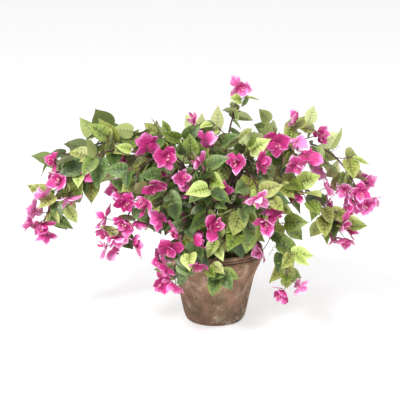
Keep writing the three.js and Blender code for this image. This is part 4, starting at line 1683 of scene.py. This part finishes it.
@dataclass
class Blossom:
    """The heads: three outer and three inner bracts round three slender flowers.

    A pair of numbers is the least and the greatest that a head or a bract may have.
    """

    length: float = 23.0
    opens: tuple = (86, 54)  # degrees that the outer and the inner bracts stand off the axis
    opening: tuple = (0.6, 1.08)  # the share of this that a head has
    closing: float = 0.25  # the share that a head facing up has less
    inner_size: float = 0.82
    sizes: tuple = (0.82, 1.16)
    lean: tuple = (-26, 22)
    cups: tuple = (0.075, 0.21)
    roll: tuple = (-0.42, 0.2)
    twist: tuple = (-0.45, 0.45)
    width: tuple = (0.72, 1.06)
    tinge: tuple = (-0.16, 0.14)
    thickness: float = 0.3
    print_lift: float = 0.08
    stray: float = 1.0  # how far a head looks away from its twig's direction
    hang: float = 0.15
    flower: float = 11.0
    tube: tuple = (0.45, 0.55, 0.75, 0.95)  # a flower's radius from its root to its mouth
    star: tuple = (2.1, 0.8)  # the reach of its points and of the notches between them
    grid: BladeGrid = BRACT_GRID
    vein: Dye = Dye(paint(186, 44, 122))
    cream: Dye = Dye(paint(236, 208, 190), 0.5)
    tube_dye: Dye = Dye(paint(206, 84, 140), 0.5)

    def bract(
        self, head: Head, end: Point, turn: float, opened: float, size: float
    ) -> tuple[Point, Point, Point]:
        """The shape of one bract.

        Args:
            head: The head that it belongs to.
            end: The twig's end, where the bract is rooted.
            turn: The way that it leans, round the axis.
            opened: How far it leans, in degrees.
            size: Its length.

        Returns:
            The points of its inner side and of its outer side, and the inner side's direction.
        """
        grid = self.grid
        lean, cup, phase, roll, twist, width = head.looks.each(
            self.lean, self.cups, ANY_TURN, self.roll, self.twist, self.width
        )
        lean = math.radians(opened + lean)
        level, beside = square_to(head.axis, UP if abs(head.axis[2]) < 0.9 else EAST)
        out = level * math.cos(turn) + beside * math.sin(turn)
        along = head.axis * math.cos(lean) + out * math.sin(lean)
        up = head.axis * math.sin(lean) - out * math.cos(lean)
        lift = cup * grid.w**2 - 0.1 * np.sin(np.pi * grid.u) + roll * grid.u**3 + twist * grid.u * grid.w
        lift += 0.042 * np.sin(10 * grid.u + phase + 2 * grid.side) * grid.share**2
        lift += 0.02 * np.sin(5 * grid.side + phase) * grid.u
        axes = (along, np.cross(head.axis, out), up)
        amounts = (grid.u * size, grid.w * size * width, lift * size)
        inside, outside = grid.sheet(end, axes, amounts, self.thickness, 0.4)
        return inside, outside, up

    def stars(self, pile: Pile, head: Head, end: Point) -> None:
        """Adds the three small flowers of a head: slender tubes that end in a five-pointed star.

        Args:
            pile: Where they are added.
            head: The head.
            end: The twig's end, where they are rooted.
        """
        ring = np.arange(10)
        after = (ring + 1) % 10
        front = np.stack([np.full(10, 10), ring, after], 1)
        faces = [np.concatenate([front, np.stack([np.full(10, 11), after, ring], 1)])]
        for _ in range(3):
            tip = unit(head.axis + head.looks.scatter() * 0.4)
            length = self.flower * head.looks.between(0.8, 1.15)
            points = np.array([end + tip * length * s + head.axis * s * s for s in (0, 0.35, 0.7, 1)])
            pile.tube(points, np.array(self.tube), 5, slot=1)
            centre = points[-1] + tip * 0.3
            level, beside = square_to(tip, -head.axis - np.array([0.3, 0.2, 0.1]))
            turns = head.looks.roll() + ring * math.pi / 5
            rim = circle(centre, turns, np.where(ring % 2, self.star[1], self.star[0]), level, beside)
            rim = rim + np.outer(np.where(ring % 2, 0, 0.7), tip)
            pile.add(np.concatenate([rim, [centre, centre - tip * 0.5]]), faces)

    def unfold(self, pile: Pile, veins: Pile, head: Head, end: Point) -> None:
        """Adds the six bracts of a head.

        Args:
            pile: Where the bracts are added.
            veins: Where their veins are.
            head: The head.
            end: The twig's end, where they are rooted.
        """
        grid = self.grid
        shade = np.clip(grid.u * 0.72 + grid.share**2 * 0.32 * (0.3 + grid.u), 0, 1)
        head.axis = unit(head.axis + head.looks.scatter() * self.stray - UP * self.hang)
        wide = head.looks.between(*self.opening) * (1 - self.closing * max(float(head.axis[2]), 0))
        for ring, opened in enumerate(self.opens):
            for k in range(3):
                turn = head.spin + (k + ring / 2) * THIRD
                size = self.length * head.size * (self.inner_size if ring else 1)
                size *= head.looks.between(*self.sizes)
                inside, outside, up = self.bract(head, end, turn, opened * wide, size)
                tinge = head.looks.between(*self.tinge)
                pile.add(inside, grid.top, 0, shade + tinge, grid.places)
                pile.add(outside, grid.bottom, 0, shade + tinge + 0.1, grid.places)
                veins.add(grid.veins(inside, up * self.print_lift), grid.vein_faces)

    def build(self, crown: Crown) -> None:
        """Makes the heads and dresses them.

        Args:
            crown: The grown crown.
        """
        piles = {bloom: Pile() for bloom in Bloom}
        veins, flowers = Pile(), Pile()
        for twig in (twig for spray in crown.sprays for twig in spray.twigs if twig.head):
            self.unfold(piles[twig.head.bloom], veins, twig.head, twig.end)
            self.stars(flowers, twig.head, twig.end)
        for bloom, pile in piles.items():
            name = "bracts_" + bloom.value
            pile.build(name, [BRACT_CLOTHS[bloom].material(name)], "silk_foliage")
        veins.build("bract_veins", [self.vein.material("bract_vein")], "silk_foliage")
        dyes = [self.cream.material("flower_cream"), self.tube_dye.material("flower_tube")]
        flowers.build("flowers", dyes, "silk_foliage")


@dataclass
class Tendrils:
    """The thin curled wires that spring from the sprays' stems."""

    every: int = 2
    wire: float = 0.4
    coil: float = 2.4
    lengths: tuple = (18, 38)
    turns: tuple = (2.5, 4.5)
    hang: float = 0.25
    seed: int = 77

    def build(self, crown: Crown, bark: bpy.types.Material) -> None:
        """Makes the tendrils and dresses them.

        Args:
            crown: The grown crown.
            bark: The bark's material.
        """
        dice = Dice(self.seed)
        pile = Pile()
        for spray in crown.sprays:
            for k in range(1, spray.count, self.every):
                root, tangent = spray.at_share((k + 0.2) / spray.count)
                away = spray.away(tangent, dice.between(*ANY_TURN))
                axis = unit(away + tangent * 0.4 + UP * dice.between(-0.3, 0.5))
                level, beside = square_to(axis, -tangent)
                length = dice.between(*self.lengths)
                turns = dice.between(*self.turns)
                steps = np.linspace(0, 1, int(turns * 12))
                swell = self.coil * np.clip(steps * 3, 0, 1) * (1 - 0.45 * steps)
                angle = FULL_TURN * turns * steps**1.3
                points = circle(root + np.outer(steps * length, axis), angle, swell, level, beside)
                points = points - np.outer(steps**2 * length * self.hang, UP)
                pile.tube(points, np.linspace(self.wire, self.wire * 0.6, len(steps)), 4)
        pile.build("tendrils", [bark], "wrapped_wire")


@dataclass
class Studio:
    """The pale floor, the soft lights and the camera."""

    target: tuple = (-0.0244, 0.0, 0.198)
    distance: float = 1.9
    elevation: float = 15.0
    lens: float = 106.9
    reach: float = 9.0  # of the floor to each side
    paper: Dye = Dye((0.6, 0.6, 0.6), 0.9)
    glow: float = 0.5  # what the paper floor gives off, so that it stays pale under the plant
    world: float = 0.68
    lamps: tuple = (("key", (-1.0, -1.5, 2.0), 0.8, 66), ("fill", (1.6, -1.3, 1.0), 1.4, 15))

    def place(self, name: str, data: bpy.types.ID, spot: Vector) -> bpy.types.Object:
        """Puts a light or the camera at a spot, turned to face the plant.

        Args:
            name: Its name.
            data: What it is.
            spot: Where it stands.

        Returns:
            The object.
        """
        holder = bpy.data.objects.new(name, data)
        holder.location = spot
        holder.rotation_euler = (Vector(self.target) - holder.location).to_track_quat("-Z", "Y").to_euler()
        bpy.context.scene.collection.objects.link(holder)
        return holder

    def build(self) -> None:
        """Sets up the studio."""
        scene = bpy.context.scene
        scene.view_settings.view_transform = "Standard"
        mesh = bpy.data.meshes.new("floor")
        corners = [(x * self.reach, y * self.reach, 0) for x, y in ((-1, -1), (1, -1), (1, 1), (-1, 1))]
        mesh.from_pydata(corners, [], [(0, 1, 2, 3)])
        floor = bpy.data.objects.new("floor", mesh)
        paper = self.paper.material("floor")
        shader = paper.node_tree.nodes["Principled BSDF"]
        shader.inputs["Emission Color"].default_value = (1, 1, 1, 1)
        shader.inputs["Emission Strength"].default_value = self.glow
        mesh.materials.append(paper)
        scene.collection.objects.link(floor)
        scene.world = bpy.data.worlds.new("studio")
        scene.world.use_nodes = True
        sky = scene.world.node_tree.nodes["Background"]
        sky.inputs["Color"].default_value = (1, 1, 1, 1)
        sky.inputs["Strength"].default_value = self.world
        for name, spot, size, watts in self.lamps:
            lamp = bpy.data.lights.new(name, "AREA")
            lamp.size = size
            lamp.energy = watts
            self.place(name, lamp, spot)
        view = math.radians(self.elevation)
        away = Vector((0, -math.cos(view), math.sin(view))) * self.distance
        scene.camera = self.place("camera", bpy.data.cameras.new("camera"), Vector(self.target) + away)
        scene.camera.data.lens = self.lens


def main() -> None:
    """Builds the bush, from the pot up, and its studio."""
    logging.basicConfig(level=logging.INFO, format="%(message)s")
    crown = Crown()
    twigs = [twig for spray in crown.sprays for twig in spray.twigs]
    leaves = sum(len(spray.leaves) for spray in crown.sprays)
    heads = sum(1 for twig in twigs if twig.head)
    log.info("crown: %d twigs, %d leaves, %d heads", len(twigs), leaves, heads)
    Pot().build()
    Moss().build()
    bark = Limbs().build(crown)
    Stem().build(bark)
    Foliage().build(crown)
    Blossom().build(crown)
    Tendrils().build(crown, bark)
    Studio().build()


if __name__ == "__main__":
    main()
